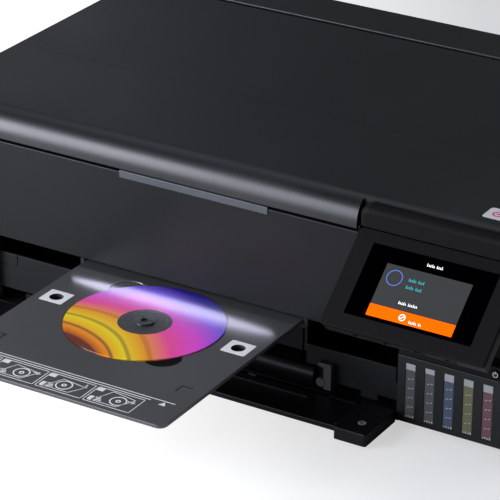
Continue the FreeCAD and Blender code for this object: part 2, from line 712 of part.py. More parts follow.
def tilted(shape):
    """A control panel piece, drawn closed and upright, swung out to its working tilt."""
    shape.rotate(V(0, PANEL_PIVOT_Y, PANEL_PIVOT_Z), V(-1, 0, 0), PANEL_TILT)
    return shape


def panel_box(depth_from, depth_to, grow=0.0):
    """A block of the control panel between two depths under its face, in the closed pose."""
    face = PANEL_PIVOT_Y - PANEL_PIVOT_IN
    top = PANEL_PIVOT_Z + PANEL_PIVOT_DOWN
    return box(
        PANEL_LEFT - grow, PANEL_RIGHT + grow, face + depth_from, face + depth_to,
        top - PANEL_LENGTH - grow, top + grow,
    )


def display_box(grow, depth):
    face = PANEL_PIVOT_Y - PANEL_PIVOT_IN
    top = PANEL_PIVOT_Z + PANEL_PIVOT_DOWN
    return box(
        DISPLAY_LEFT - grow, DISPLAY_RIGHT + grow, face - grow, face + depth,
        top - DISPLAY_BOTTOM - grow, top - DISPLAY_TOP + grow,
    )


def panel_bezel():
    bezel = panel_box(0, PANEL_BEZEL)
    bezel = soften(bezel, PANEL_CORNER, lambda e: runs(e, "y"))
    face = PANEL_PIVOT_Y - PANEL_PIVOT_IN
    bezel = soften(bezel, PANEL_ROUND, lambda e: near(e.CenterOfMass.y, face) and not runs(e, "y"))
    return tilted(bezel.cut(display_box(DISPLAY_CLEAR, DISPLAY_THICKNESS + SEAT)))


def panel_display():
    face = PANEL_PIVOT_Y - PANEL_PIVOT_IN
    glass = display_box(0, DISPLAY_THICKNESS).common(panel_box(DISPLAY_SINK, PANEL_THICKNESS))
    return tilted(soften(glass, DISPLAY_SINK, lambda e: near(e.CenterOfMass.y, face + DISPLAY_SINK)))


def panel_back():
    """The ribbed rear shell of the control panel, with its pins."""
    shell = panel_box(PANEL_BEZEL + SEAT, PANEL_THICKNESS, -PANEL_BACK_INSET)
    rear = PANEL_PIVOT_Y - PANEL_PIVOT_IN + PANEL_THICKNESS
    shell = soften(shell, PANEL_BACK_ROUND, lambda e: not runs(e, "y") and near(e.CenterOfMass.y, rear))
    bottom = PANEL_PIVOT_Z + PANEL_PIVOT_DOWN - PANEL_LENGTH
    near_y, far_y = (PANEL_PIVOT_Y + depth for depth in PANEL_SLOT_DEPTH)
    middle = (PANEL_LEFT + PANEL_RIGHT - PANEL_SLOT[0]) / 2
    starts = [middle + PANEL_SLOT_PITCH * (i - (PANEL_SLOT_COUNT - 1) / 2) for i in range(PANEL_SLOT_COUNT)]
    slots = [box(x, x + PANEL_SLOT[0], near_y, far_y, bottom, bottom + PANEL_SLOT[1]) for x in starts]
    shell = shell.cut(Part.makeCompound(slots))
    pins = [
        rod("x", x - PANEL_PIN_LENGTH, x + PANEL_PIN_LENGTH, PANEL_PIVOT_Y, PANEL_PIVOT_Z, PANEL_PIN_RADIUS)
        for x in (PANEL_LEFT, PANEL_RIGHT)
    ]
    return tilted(join(shell, *pins))


# ---- flip-down front cover ------------------------------------------------------------------
def front_cover():
    """The low cover that lies open in front of the paper cassettes."""
    plate = box(FLAP_LEFT, FLAP_RIGHT, FLAP_FRONT, FLAP_REAR, FLAP_BOTTOM, FLAP_TOP)
    plate = soften(plate, FLAP_ROUND, lambda e: runs(e, "x") and near(e.CenterOfMass.y, FLAP_FRONT))
    well_left, well_front = FLAP_LEFT + FLAP_RIM, FLAP_FRONT + FLAP_RIM
    well = box(well_left, FLAP_WELL_RIGHT, well_front, FLAP_STEP_Y, FLAP_WELL_Z, BLOCK_TOP)
    plate = plate.cut(well)
    blocks = []
    for x0, top in ((FLAP_RIGHT - BLOCK_WIDTH, BLOCK_TOP), (FLAP_LEFT, LEFT_BLOCK_TOP)):
        block = box(x0, x0 + BLOCK_WIDTH, BLOCK_FRONT, FLAP_REAR, FLAP_BOTTOM, top)
        block = soften(block, BLOCK_CORNER, lambda e: runs(e, "z") and near(e.CenterOfMass.y, BLOCK_FRONT))
        block = soften(block, FLAP_ROUND, lambda e, top=top: near(e.CenterOfMass.z, top))
        blocks.append(block)
    rib_right = FLAP_RIGHT - BLOCK_WIDTH
    rib_left = rib_right - RIB_WIDTH
    rib = box(rib_left, rib_right, well_front, FLAP_REAR, FLAP_TOP, FLAP_TOP + RIB_HEIGHT)
    arms = []
    for x in FLAP_HINGES:
        x0, x1 = x - KNUCKLE_LENGTH / 2, x + KNUCKLE_LENGTH / 2
        arms.append(rod("x", x0, x1, FLAP_PIVOT_Y, FLAP_PIVOT_Z, KNUCKLE_RADIUS))
        arm_low, arm_top = FLAP_PIVOT_Z - KNUCKLE_RADIUS, FLAP_PIVOT_Z + KNUCKLE_RADIUS / 2
        arms.append(box(x0, x1, FLAP_REAR - 1, FLAP_PIVOT_Y, arm_low, arm_top))
        pin = KNUCKLE_LENGTH / 2 + SEAT + EAR_LENGTH
        arms.append(rod("x", x - pin, x + pin, FLAP_PIVOT_Y, FLAP_PIVOT_Z, HINGE_PIN_RADIUS))
    return join(plate, *blocks, rib, *arms)


# ---- paper cassettes ------------------------------------------------------------------------
def cassette_lower():
    left = BAY_LEFT + SLIDE_CLEAR
    right = BAY_RIGHT - SLIDE_CLEAR
    face_back = LOWER_FACE_Y + LOWER_FACE_DEPTH
    body_front = GRIP_SHELF_BACK + SEAT
    low_end = UPPER_FACE_RIGHT + SLIDE_CLEAR
    floor_top = LOWER_Z + LOWER_WALL
    wall_top = LOWER_TOP - 1
    inner_front = body_front + LOWER_WALL
    corner = LOWER_FACE_LEFT + LOWER_WALL
    floor = join(
        box(left, right, body_front, LOWER_BACK, LOWER_Z, floor_top),
        box(LOWER_FACE_LEFT, right, LOWER_FACE_Y, body_front, LOWER_Z, floor_top),
    )
    walls = [
        box(left, left + LOWER_WALL, body_front, LOWER_BACK, LOWER_Z, LOWER_SIDE_TOP),
        box(right - LOWER_WALL, right, face_back, LOWER_BACK, LOWER_Z, wall_top),
        box(left, right, LOWER_BACK - LOWER_WALL, LOWER_BACK, LOWER_Z, wall_top),
        box(left, low_end, body_front, inner_front, LOWER_Z, LOWER_SIDE_TOP),
        box(low_end, LOWER_FACE_LEFT, body_front, inner_front, LOWER_Z, wall_top),
        box(LOWER_FACE_LEFT, corner, face_back, body_front + 1, LOWER_Z, wall_top),
    ]
    face = box(LOWER_FACE_LEFT, right, LOWER_FACE_Y, face_back, LOWER_Z, LOWER_FACE_TOP)
    face = soften(face, CASSETTE_ROUND, lambda e: runs(e, "x") and near(e.CenterOfMass.z, LOWER_FACE_TOP))
    notch_left, notch_bottom = right - LOWER_NOTCH_WIDTH, LOWER_FACE_TOP - LOWER_NOTCH_DEPTH
    notch = join(
        box(notch_left, right + 1, FRONT, face_back + 1, notch_bottom, LOWER_FACE_TOP + 1),
        rod("y", FRONT, face_back + 1, right, notch_bottom, LOWER_NOTCH_WIDTH),
    )
    bore = LEVER_PIN_RADIUS + RUN_CLEAR
    socket = rod("y", LOWER_FACE_Y - 1, face_back + SEAT, LEVER_PIVOT_X, LEVER_PIVOT_Z, bore)
    rack_left, rack_right = GUIDE_CENTRE - RACK_HALF, GUIDE_CENTRE + RACK_HALF
    racks = [
        box(rack_left, rack_right, y, y + RACK_WIDTH, floor_top, floor_top + RACK_HEIGHT) for y in RACK_Y
    ]
    return join(floor, *walls, face.cut(notch), *racks).cut(socket)


def cassette_grip():
    """The dark rounded pull along the middle of the lower cassette's front."""
    mid_z = GRIP_BOTTOM + GRIP_BELLY * (LOWER_TOP - GRIP_BOTTOM)
    step_y = GRIP_SHELF_FRONT + GRIP_SHELF_STEP
    arc = Part.Arc(
        V(GRIP_LEFT, GRIP_FRONT + GRIP_UNDERCUT, GRIP_BOTTOM),
        V(GRIP_LEFT, GRIP_FRONT, mid_z),
        V(GRIP_LEFT, GRIP_SHELF_FRONT, LOWER_TOP),
    ).toShape()
    corners = [
        V(GRIP_LEFT, GRIP_SHELF_FRONT, LOWER_TOP),
        V(GRIP_LEFT, GRIP_SHELF_BACK, LOWER_TOP),
        V(GRIP_LEFT, GRIP_SHELF_BACK, LOWER_Z),
        V(GRIP_LEFT, step_y, LOWER_Z),
        V(GRIP_LEFT, step_y, GRIP_BOTTOM),
        V(GRIP_LEFT, GRIP_FRONT + GRIP_UNDERCUT, GRIP_BOTTOM),
    ]
    edges = [Part.LineSegment(a, b).toShape() for a, b in zip(corners, corners[1:])]
    face = wire_face([arc, *edges])
    grip = face.extrude(V(LOWER_FACE_LEFT - SEAT - GRIP_LEFT, 0, 0))
    tail = face.extrude(V(GRIP_RIGHT - GRIP_LEFT, 0, 0))
    tail = tail.common(box(GRIP_LEFT, GRIP_RIGHT, FRONT - 5, LOWER_FACE_Y - SEAT, 0, LOWER_TOP))
    return join(grip, tail)


def lock_lever():
    """The small locking lever that turns on a round knob beside the pull."""
    back = LEVER_FRONT + LEVER_DEPTH
    bar = box(LEVER_LEFT, LEVER_RIGHT, LEVER_FRONT, back, LEVER_BOTTOM, LEVER_TOP)
    cap = box(
        LEVER_LEFT - LEVER_CAP_REACH, LEVER_RIGHT, LEVER_FRONT, back, LEVER_TOP - LEVER_CAP, LEVER_TOP
    )
    shape = join(bar, cap)
    shape = soften(shape, LEVER_ROUND, lambda e: near(e.CenterOfMass.y, LEVER_FRONT) or runs(e, "y"))
    knob = rod("y", LEVER_FRONT - KNOB_PROUD, back, LEVER_PIVOT_X, LEVER_PIVOT_Z, KNOB_RADIUS)
    pin_end = LOWER_FACE_Y + LOWER_FACE_DEPTH
    pin = rod("y", back - 1, pin_end, LEVER_PIVOT_X, LEVER_PIVOT_Z, LEVER_PIN_RADIUS)
    return join(shape, knob, pin)


def edge_guide(sign):
    """One of the two paper edge guides in the lower cassette."""
    inner = GUIDE_CENTRE + sign * GUIDE_HALF_GAP
    x0, x1 = sorted((inner, inner + sign * GUIDE_THICKNESS))
    z0 = LOWER_Z + LOWER_WALL + RACK_HEIGHT + SEAT
    wall = box(x0, x1, GUIDE_FRONT, GUIDE_FRONT + GUIDE_LENGTH, z0, LOWER_TOP - 2)
    reach, length, thick = GUIDE_FOOT
    foot_x0, foot_x1 = sorted((inner, inner + sign * reach))
    foot = box(foot_x0, foot_x1, GUIDE_FOOT_FRONT, GUIDE_FOOT_FRONT + length, z0, z0 + thick)
    return join(wall, foot)


def cassette_upper():
    left = BAY_LEFT + SLIDE_CLEAR
    floor_top = UPPER_FLOOR_Z + UPPER_WALL
    floor = box(left, UPPER_RIGHT, UPPER_INNER_Y, UPPER_BACK, UPPER_FLOOR_Z, floor_top)
    top = UPPER_FLOOR_Z + UPPER_HEIGHT
    walls = [
        box(left, left + UPPER_WALL, UPPER_INNER_Y, UPPER_BACK, UPPER_FLOOR_Z, top),
        box(UPPER_RIGHT - UPPER_WALL, UPPER_RIGHT, UPPER_INNER_Y, UPPER_BACK, UPPER_FLOOR_Z, top),
        box(left, UPPER_RIGHT, UPPER_BACK - UPPER_WALL, UPPER_BACK, UPPER_FLOOR_Z, top),
    ]
    low, inner_back = LOWER_TOP + UPPER_LIFT, UPPER_INNER_Y + UPPER_BOARD
    face_back = UPPER_FACE_Y + UPPER_FACE_DEPTH
    middle = box(UPPER_FACE_RIGHT, UPPER_RIGHT, UPPER_INNER_Y, inner_back, low, UPPER_TOP)
    face = box(left, UPPER_FACE_RIGHT, UPPER_FACE_Y, face_back, UPPER_FACE_BOTTOM, UPPER_TOP)
    face = soften(face, CASSETTE_ROUND, lambda e: runs(e, "x") and near(e.CenterOfMass.y, UPPER_FACE_Y))
    cheek_left = UPPER_FACE_RIGHT - UPPER_FACE_DEPTH
    cheek = box(cheek_left, UPPER_FACE_RIGHT, UPPER_FACE_Y + 1, inner_back, low, UPPER_TOP)
    deck = box(left, UPPER_FACE_RIGHT, UPPER_FACE_Y + 1, UPPER_INNER_Y + 1, UPPER_FLOOR_Z, floor_top)
    line_x, line_z = left + UPPER_LINE_REACH, UPPER_TOP - UPPER_LINE_DROP
    line_y = UPPER_FACE_Y + UPPER_LINE_DEPTH
    groove = join(
        box(left - 1, line_x, FRONT, line_y, line_z, line_z + UPPER_LINE_WIDTH),
        box(line_x - UPPER_LINE_WIDTH, line_x, FRONT, line_y, line_z, UPPER_TOP + 1),
    )
    return join(floor, *walls, middle, face, cheek, deck).cut(groove)


# ---- disc tray ------------------------------------------------------------------------------
def disc_tray():
    """The thin tray that carries a disc through the printer."""
    left = DISC_X - TRAY_HALF_WIDTH
    right = DISC_X + TRAY_HALF_WIDTH
    bottom = TRAY_TOP - TRAY_THICKNESS
    plate = box(left, right, TRAY_FRONT, TRAY_FRONT + TRAY_LENGTH, bottom, TRAY_TOP)
    plate = soften(plate, TRAY_CORNER, lambda e: runs(e, "z") and e.CenterOfMass.y < DISC_Y)
    plate = soften(plate, TRAY_ROUND, lambda e: near(e.CenterOfMass.z, TRAY_TOP) and not runs(e, "z"))
    floor = TRAY_TOP - DISC_POCKET
    pocket = rod("z", floor, TRAY_TOP + 1, DISC_X, DISC_Y, DISC_RADIUS + DISC_RING)
    cuts = [pocket]
    for sign in (-1, 1):
        notch_x, notch_y = DISC_X + sign * NOTCH_OFFSET_X, DISC_Y - sign * NOTCH_OFFSET_Y
        cuts.append(rod("z", floor, TRAY_TOP + 1, notch_x, notch_y, NOTCH_RADIUS))
        mark_x = DISC_X + sign * MARK_OFFSET
        cuts.append(rod("z", bottom - 1, TRAY_TOP + 1, mark_x, DISC_Y + 1, MARK_HOLE_RADIUS))
    return plate.cut(Part.makeCompound(cuts))


def optical_disc():
    floor = TRAY_TOP - DISC_POCKET
    disc = rod("z", floor, floor + DISC_THICKNESS, DISC_X, DISC_Y, DISC_RADIUS)
    disc = soften(disc, DISC_ROUND, lambda e: near(e.CenterOfMass.z, floor + DISC_THICKNESS))
    return disc.cut(rod("z", floor - 1, TRAY_TOP + 2, DISC_X, DISC_Y, DISC_HOLE_RADIUS))


def disc_clamp():
    """The raised spindle that centres the disc on the tray."""
    floor = TRAY_TOP - DISC_POCKET
    top = floor + DISC_THICKNESS + CLAMP_HEIGHT
    hub = rod("z", floor, top, DISC_X, DISC_Y, DISC_HOLE_RADIUS - HUB_CLEAR)
    hub = soften(hub, HUB_ROUND, lambda e: near(e.CenterOfMass.z, top))
    radius, depth = HUB_DIMPLE
    return hub.cut(rod("z", top - depth, top + 1, DISC_X, DISC_Y, radius))


def disc_channel():
    """The fixed channel that guides the disc tray in from the front."""
    left = DISC_X - TRAY_HALF_WIDTH - SLIDE_CLEAR
    right = DISC_X + TRAY_HALF_WIDTH + SLIDE_CLEAR
    outer_left, outer_right = left - CHANNEL_WALL, right + CHANNEL_WALL
    front = CHANNEL_FRONT
    floor_top = TRAY_TOP - TRAY_THICKNESS - SEAT
    floor_z = floor_top - CHANNEL_FLOOR
    floor = box(outer_left, outer_right, front, CHANNEL_BACK, floor_z, floor_top)
    walls = [
        box(outer_left, left, front, CHANNEL_BACK, floor_z, CHANNEL_TOP),
        box(right, outer_right, front, CHANNEL_BACK, floor_z, CHANNEL_TOP),
    ]
    foot = box(left, right, DECK_FRONT + 2, CHANNEL_BACK, DECK_TOP, floor_z)
    shape = join(floor, *walls, foot)
    return soften(shape, CHANNEL_ROUND, lambda e: runs(e, "z") and near(e.CenterOfMass.y, front))


# ---- ink tanks ------------------------------------------------------------------------------
def window_left(i):
    return WINDOW_LEFT + WINDOW_PITCH * i


def tank_housing():
    outer = box(HOUSING_LEFT, RIGHT, HOUSING_FRONT, HOUSING_BACK, HOUSING_BOTTOM, HOUSING_TOP)
    outer = soften(outer, HOUSING_ROUND, lambda e: near(e.CenterOfMass.y, HOUSING_FRONT) and runs(e, "x"))
    inner = box(
        HOUSING_LEFT + HOUSING_WALL, RIGHT - HOUSING_WALL, HOUSING_FRONT + HOUSING_WALL, HOUSING_BACK + 1,
        HOUSING_BOTTOM + HOUSING_WALL, HOUSING_TOP + 1,
    )
    cuts = [inner]
    for i in range(TANK_COUNT):
        x = window_left(i)
        wall_back = HOUSING_FRONT + HOUSING_WALL + 1
        cuts.append(box(x, x + WINDOW_WIDTH, HOUSING_FRONT - 1, wall_back, *WINDOW_Z))
    toe_back, toe_top = HOUSING_FRONT + HOUSING_TOE, HOUSING_BOTTOM + HOUSING_TOE
    toe = box(HOUSING_LEFT + 1, RIGHT - 1, HOUSING_FRONT - 1, toe_back, 0, toe_top)
    return outer.cut(Part.makeCompound([*cuts, toe]))


def level_windows():
    """The clear strips in front of the tanks."""
    y0, y1 = HOUSING_FRONT + WINDOW_RECESS, HOUSING_FRONT + HOUSING_WALL
    z0, z1 = WINDOW_Z[0] + WINDOW_CLEAR, WINDOW_Z[1] - WINDOW_CLEAR
    starts = [window_left(i) + WINDOW_CLEAR for i in range(TANK_COUNT)]
    return Part.makeCompound([box(x, x + WINDOW_WIDTH - 2 * WINDOW_CLEAR, y0, y1, z0, z1) for x in starts])


def tank_span():
    """Where a tank starts and ends from front to back, and its filler neck."""
    front = HOUSING_FRONT + HOUSING_WALL + SEAT
    back = HOUSING_BACK - TANK_BACK_GAP
    return front, back, (front + back) / 2 + TANK_NECK_BACK


def ink_tank(i):
    """A filled tank with its filler neck."""
    middle = window_left(i) + WINDOW_WIDTH / 2
    front, back, neck_y = tank_span()
    floor = HOUSING_BOTTOM + HOUSING_WALL
    body = box(middle - TANK_WIDTH / 2, middle + TANK_WIDTH / 2, front, back, floor, TANK_TOP)
    body = soften(body, TANK_ROUND, lambda e: runs(e, "z"))
    neck = rod("z", TANK_TOP - 1, TANK_TOP + TANK_NECK_HEIGHT, middle, neck_y, TANK_NECK_RADIUS)
    return join(body, neck)


def tank_caps():
    neck_y = tank_span()[2]
    caps = []
    for i in range(TANK_COUNT):
        middle = window_left(i) + WINDOW_WIDTH / 2
        cap = rod("z", TANK_TOP + SEAT, TANK_CAP_TOP, middle, neck_y, TANK_CAP_RADIUS)
        cap = soften(cap, TANK_CAP_ROUND, lambda e: near(e.CenterOfMass.z, TANK_CAP_TOP))
        mouth_top = TANK_TOP + TANK_NECK_HEIGHT + SEAT
        caps.append(cap.cut(rod("z", TANK_TOP, mouth_top, middle, neck_y, TANK_NECK_RADIUS + 0.1)))
    return Part.makeCompound(caps)


# ---- chassis and mechanism ------------------------------------------------------------------
def chassis():
    """The inner deck over the paper cassettes, and the walls that carry it."""
    low = DECK_TOP - DECK_THICKNESS
    wall_right = BAY_RIGHT + BAY_WALL
    wall_left = BAY_LEFT - BAY_WALL
    deck = box(-INNER, wall_right, DECK_FRONT, DECK_BACK, low, DECK_TOP)
    wide = box(wall_right, INNER, DECK_STEP_Y, DECK_BACK, low, DECK_TOP)
    walls = [
        box(wall_left, BAY_LEFT, BAY_FRONT, BAY_BACK, BASE_TOP, DECK_TOP),
        box(BAY_RIGHT, wall_right, BAY_FRONT, BAY_BACK, BASE_TOP, DECK_TOP),
        box(wall_left, wall_right, BAY_BACK, BAY_BACK + BAY_WALL, BASE_TOP, DECK_TOP),
    ]
    ledge_z = UPPER_FLOOR_Z - SEAT
    hanger = UPPER_RIGHT + SLIDE_CLEAR
    rail_z = ledge_z - RAIL_THICKNESS
    rails = [
        box(BAY_LEFT, BAY_LEFT + RAIL_WIDTH, DECK_FRONT + 2, BAY_BACK, rail_z, ledge_z),
        box(hanger, hanger + BAY_WALL, DECK_FRONT - 2, BAY_BACK, rail_z, DECK_TOP),
        box(hanger - RAIL_WIDTH, hanger + BAY_WALL, DECK_FRONT + 2, BAY_BACK, rail_z, ledge_z),
    ]
    foot_z = BASE_TOP + WALL + SEAT
    legs = []
    for x, back_y in ((-INNER, LEG_BACK_Y[0]), (INNER - LEG_WIDTH, LEG_BACK_Y[1])):
        legs += [box(x, x + LEG_WIDTH, y, y + LEG_LENGTH, foot_z, low + 1) for y in (LEG_FRONT_Y, back_y)]
    wheel_well = box(
        FEED_WHEEL_X - 0.5, FEED_WHEEL_X + FEED_WHEEL_WIDTH + 0.5, FEED_Y - FEED_WHEEL_RADIUS - 1,
        FEED_Y + FEED_WHEEL_RADIUS + 1, low - 1, DECK_TOP + 1,
    )
    return join(deck, wide, *walls, *rails, *legs).cut(wheel_well)


def platen():
    """The ribbed platen under the print head, and the paper guide behind the feed roller."""
    bed = box(*PLATEN_X, *PLATEN_Y, DECK_TOP, PLATEN_TOP - RIB_DROP)
    guide = box(*PLATEN_X, *GUIDE_Y, DECK_TOP, PLATEN_TOP - 2 * RIB_DROP)
    count = int((PLATEN_X[1] - PLATEN_X[0]) / RIB_PITCH)
    starts = [PLATEN_X[0] + RIB_PITCH * (i + 1 / 3) for i in range(count)]
    rib_z, land_z, land_top = PLATEN_TOP - 2 * RIB_DROP, PLATEN_TOP - 3 * RIB_DROP, PLATEN_TOP - RIB_DROP
    ribs = [box(x, x + RIB_THICK, *PLATEN_Y, rib_z, PLATEN_TOP) for x in starts]
    lands = [box(x, x + RIB_THICK, *GUIDE_Y, land_z, land_top) for x in starts]
    return Part.makeCompound([join(bed, *ribs), join(guide, *lands)])


def main_frame():
    """The bent steel frame that carries the guide rod, the motors and the feed roller."""
    left, right = -FRAME_HALF, FRAME_HALF
    sides = [
        box(left, left + FRAME_SHEET, FRAME_FRONT, FRAME_BACK, DECK_TOP, FRAME_TOP),
        box(right - FRAME_SHEET, right, DECK_STEP_Y, FRAME_BACK, DECK_TOP, FRAME_TOP),
    ]
    back = box(left, right, FRAME_BACK - FRAME_SHEET, FRAME_BACK, FRAME_PATH_Z, FRAME_TOP)
    lip = box(left, right, FRAME_BACK - FRAME_LIP, FRAME_BACK, FRAME_TOP - FRAME_SHEET, FRAME_TOP)
    shelf_z = BELT_Z - BELT_HEIGHT / 2 - SHELF_DROP
    under = shelf_z - FRAME_SHEET
    before, after = SHELF_REACH
    shelves = []
    for x in PULLEY_X:
        shelf = box(x - before, x + after, BELT_Y - after, FRAME_BACK - FRAME_SHEET, under, shelf_z)
        pin = rod("z", under, BELT_Z + BELT_HEIGHT / 2 + HUB_PROUD, x, BELT_Y, PULLEY_PIN)
        shelves += [shelf, pin]
    shape = join(*sides, back, lip, *shelves)
    roller = rod("x", left - 1, right + 1, FEED_Y, FEED_Z, FEED_RADIUS + RUN_CLEAR)
    windows = [
        box(x, x + FRAME_WINDOW_WIDTH, FRAME_BACK - FRAME_SHEET - 1, FRAME_BACK + 1, *FRAME_WINDOW_Z)
        for x in FRAME_WINDOW_X
    ]
    return shape.cut(Part.makeCompound([roller, *windows]))


def carriage_rod():
    edge = FRAME_HALF - FRAME_SHEET
    return rod("x", -edge, edge, ROD_Y, ROD_Z, ROD_RADIUS)


def carriage_body():
    """The open box that holds the print head, with the bearing that runs on the rod."""
    x0, x1 = CARRIAGE_X
    y0, y1 = CARRIAGE_Y
    z0, z1 = CARRIAGE_Z
    shell = box(x0, x1, y0, y1, z0, z1)
    wall = CARRIAGE_WALL
    inner = box(x0 + wall, x1 - wall, y0 + wall, y1 - wall, z0 + wall, z1 + 1)
    shell = soften(shell, CARRIAGE_ROUND, lambda e: runs(e, "z")).cut(inner)
    ends = x0 + BEARING_INSET, x1 - BEARING_INSET
    bearing = rod("x", *ends, ROD_Y, ROD_Z, ROD_RADIUS + BEARING_WALL)
    arm = box(*ends, y1 - 1, ROD_Y, ROD_Z - BEARING_ARM, ROD_Z + BEARING_ARM)
    belt_face = BELT_Y - PULLEY_RADIUS - BELT_THICKNESS - SEAT
    clip = box(
        x0 + CLIP_INSET, x1 - CLIP_INSET, y1 - 1, belt_face, BELT_Z - CLIP_HALF, BELT_Z + CLIP_HALF
    )
    bore = rod("x", x0, x1, ROD_Y, ROD_Z, ROD_RADIUS + RUN_CLEAR)
    starts = [x0 + DAMPER_LEFT + DAMPER_PITCH * i for i in range(DAMPER_COUNT)]
    dampers = [
        box(x, x + DAMPER_WIDTH, y0 + BEARING_INSET, y1 - BEARING_INSET, z0 + 2, z1 - 4) for x in starts
    ]
    return join(shell, bearing, arm, clip, *dampers).cut(bore)


def print_head():
    x0, x1 = CARRIAGE_X
    y0, y1 = CARRIAGE_Y
    block = box(x0 + HEAD_INSET, x1 - HEAD_INSET, y0 + 8, y1 - 6, HEAD_BOTTOM, CARRIAGE_Z[0])
    return soften(block, HEAD_ROUND, lambda e: near(e.CenterOfMass.z, HEAD_BOTTOM))


def carriage_belt():
    z0, z1 = BELT_Z - BELT_HEIGHT / 2, BELT_Z + BELT_HEIGHT / 2
    inner = PULLEY_RADIUS + RUN_CLEAR
    loop = stadium(*PULLEY_X, BELT_Y, inner + BELT_THICKNESS, z0, z1)
    return loop.cut(stadium(*PULLEY_X, BELT_Y, inner, z0 - 1, z1 + 1))


def belt_pulley(x):
    """A toothed belt wheel with a keyed hub, running on its pin."""
    z0, z1 = BELT_Z - BELT_HEIGHT / 2, BELT_Z + BELT_HEIGHT / 2
    wheel = rod("z", z0, z1, x, BELT_Y, PULLEY_RADIUS)
    hub = rod("z", z0 - HUB_PROUD, z1 + HUB_PROUD, x, BELT_Y, PULLEY_HUB)
    count, ring, radius = PULLEY_HOLES
    marks = [
        rod("z", z0 - 1, z1 + 2, x + ring * math.cos(a), BELT_Y + ring * math.sin(a), radius)
        for a in (2 * math.pi * k / count for k in range(count))
    ]
    bore = rod("z", z0 - 2, z1 + 2, x, BELT_Y, PULLEY_PIN + RUN_CLEAR)
    return join(wheel, hub).cut(Part.makeCompound([*marks, bore]))


def feed_roller():
    """The long paper feed shaft with its drive wheel, which is pushed on as a piece of its own."""
    wheel_end = FEED_WHEEL_X + FEED_WHEEL_WIDTH
    shaft = rod("x", -FRAME_HALF - SHAFT_END, wheel_end + SHAFT_END, FEED_Y, FEED_Z, FEED_RADIUS)
    wheel = rod("x", FEED_WHEEL_X, wheel_end, FEED_Y, FEED_Z, FEED_WHEEL_RADIUS)
    ring = (FEED_RADIUS + FEED_WHEEL_RADIUS) / 2
    count, radius = FEED_HOLES
    turns = [2 * math.pi * k / count for k in range(count)]
    spots = [(FEED_Y + ring * math.cos(a), FEED_Z + ring * math.sin(a)) for a in turns]
    holes = [rod("x", FEED_WHEEL_X - 1, wheel_end + 1, y, z, radius) for y, z in spots]
    bore = rod("x", FEED_WHEEL_X - 1, wheel_end + 1, FEED_Y, FEED_Z, FEED_RADIUS + RUN_CLEAR)
    return Part.makeCompound([shaft, wheel.cut(Part.makeCompound([bore, *holes]))])


def drive_motors():
    """The belt motor under its pulley, and the paper feed motor at the right side plate."""
    shaft_top = FEED_Z + FEED_RADIUS + 1
    top = BELT_Z - BELT_HEIGHT / 2 - SHELF_DROP - FRAME_SHEET
    belt_motor = rod("z", shaft_top, top, PULLEY_X[0], BELT_Y, BELT_MOTOR_RADIUS)
    belt_motor = soften(belt_motor, 0.8, lambda e: near(e.CenterOfMass.z, shaft_top))
    plate = FRAME_HALF - FRAME_SHEET
    motor_z = shaft_top + FEED_MOTOR_RADIUS
    feed_motor = rod("x", plate - FEED_MOTOR_LENGTH, plate, FRAME_BACK - 14, motor_z, FEED_MOTOR_RADIUS)
    return Part.makeCompound([belt_motor, feed_motor])


def capping_station():
    """The service station where the print head parks."""
    x0, x1 = HOUSING_LEFT + 2, CARRIAGE_X[1] - 2
    y0, y1 = CAP_STATION_Y
    deck = CAP_STATION_TOP - CAP_STATION_DROP
    base = box(x0, x1, y0, y1, DECK_TOP, deck)
    wide, long = CUP_SIZE
    cup_y = (y0 + y1 - long) / 2
    cups, hollows = [], []
    for i in range(CUP_COUNT):
        x = (x0 + x1 - wide) / 2 + CUP_PITCH * (i - (CUP_COUNT - 1) / 2)
        cups.append(box(x, x + wide, cup_y, cup_y + long, deck - 1, CAP_STATION_TOP))
        hollows.append(
            box(x + CUP_WALL, x + wide - CUP_WALL, cup_y + CUP_WALL, cup_y + long - CUP_WALL,
                CAP_STATION_TOP - CUP_DEPTH, CAP_STATION_TOP + 1)
        )
    return join(base, *cups).cut(Part.makeCompound(hollows))


def power_supply():
    shell = box(*POWER_BOX_X, *POWER_BOX_Y, BASE_TOP, POWER_BOX_TOP)
    shell = soften(shell, POWER_BOX_ROUND, lambda e: runs(e, "z"))
    count, pitch, width, depth = POWER_SLOTS
    starts = [POWER_BOX_X[0] + 10 + pitch * i for i in range(count)]
    slots = [box(x, x + width, *POWER_SLOT_Y, POWER_BOX_TOP - depth, POWER_BOX_TOP + 1) for x in starts]
    lead = box(*INLET_X, POWER_BOX_Y[1] - 1, BACK - INLET_DEPTH, BASE_TOP, BASE_TOP + LEAD_HEIGHT)
    return join(shell, lead).cut(Part.makeCompound(slots))


def rear_ports():
    """The metal shells of the data sockets, held on the main board."""
    blocks = []
    wall, mouth = PORT_WALL, BACK - PORT_DEPTH
    for x0, x1, z0, z1 in PORTS:
        block = box(x0, x1, BOARD_Y + BOARD_THICKNESS, BACK - SEAM, z0, z1)
        blocks.append(block.cut(box(x0 + wall, x1 - wall, mouth, BACK + 1, z0 + wall, z1 - wall)))
    return Part.makeCompound(blocks)


def main_board():
    board = box(*BOARD_X, BOARD_Y, BOARD_Y + BOARD_THICKNESS, BASE_TOP, BOARD_Z[1])
    chips = [box(x, x + w, BOARD_Y - CHIP_HEIGHT, BOARD_Y, z, z + h) for x, w, z, h in CHIPS]
    return join(board, *chips)


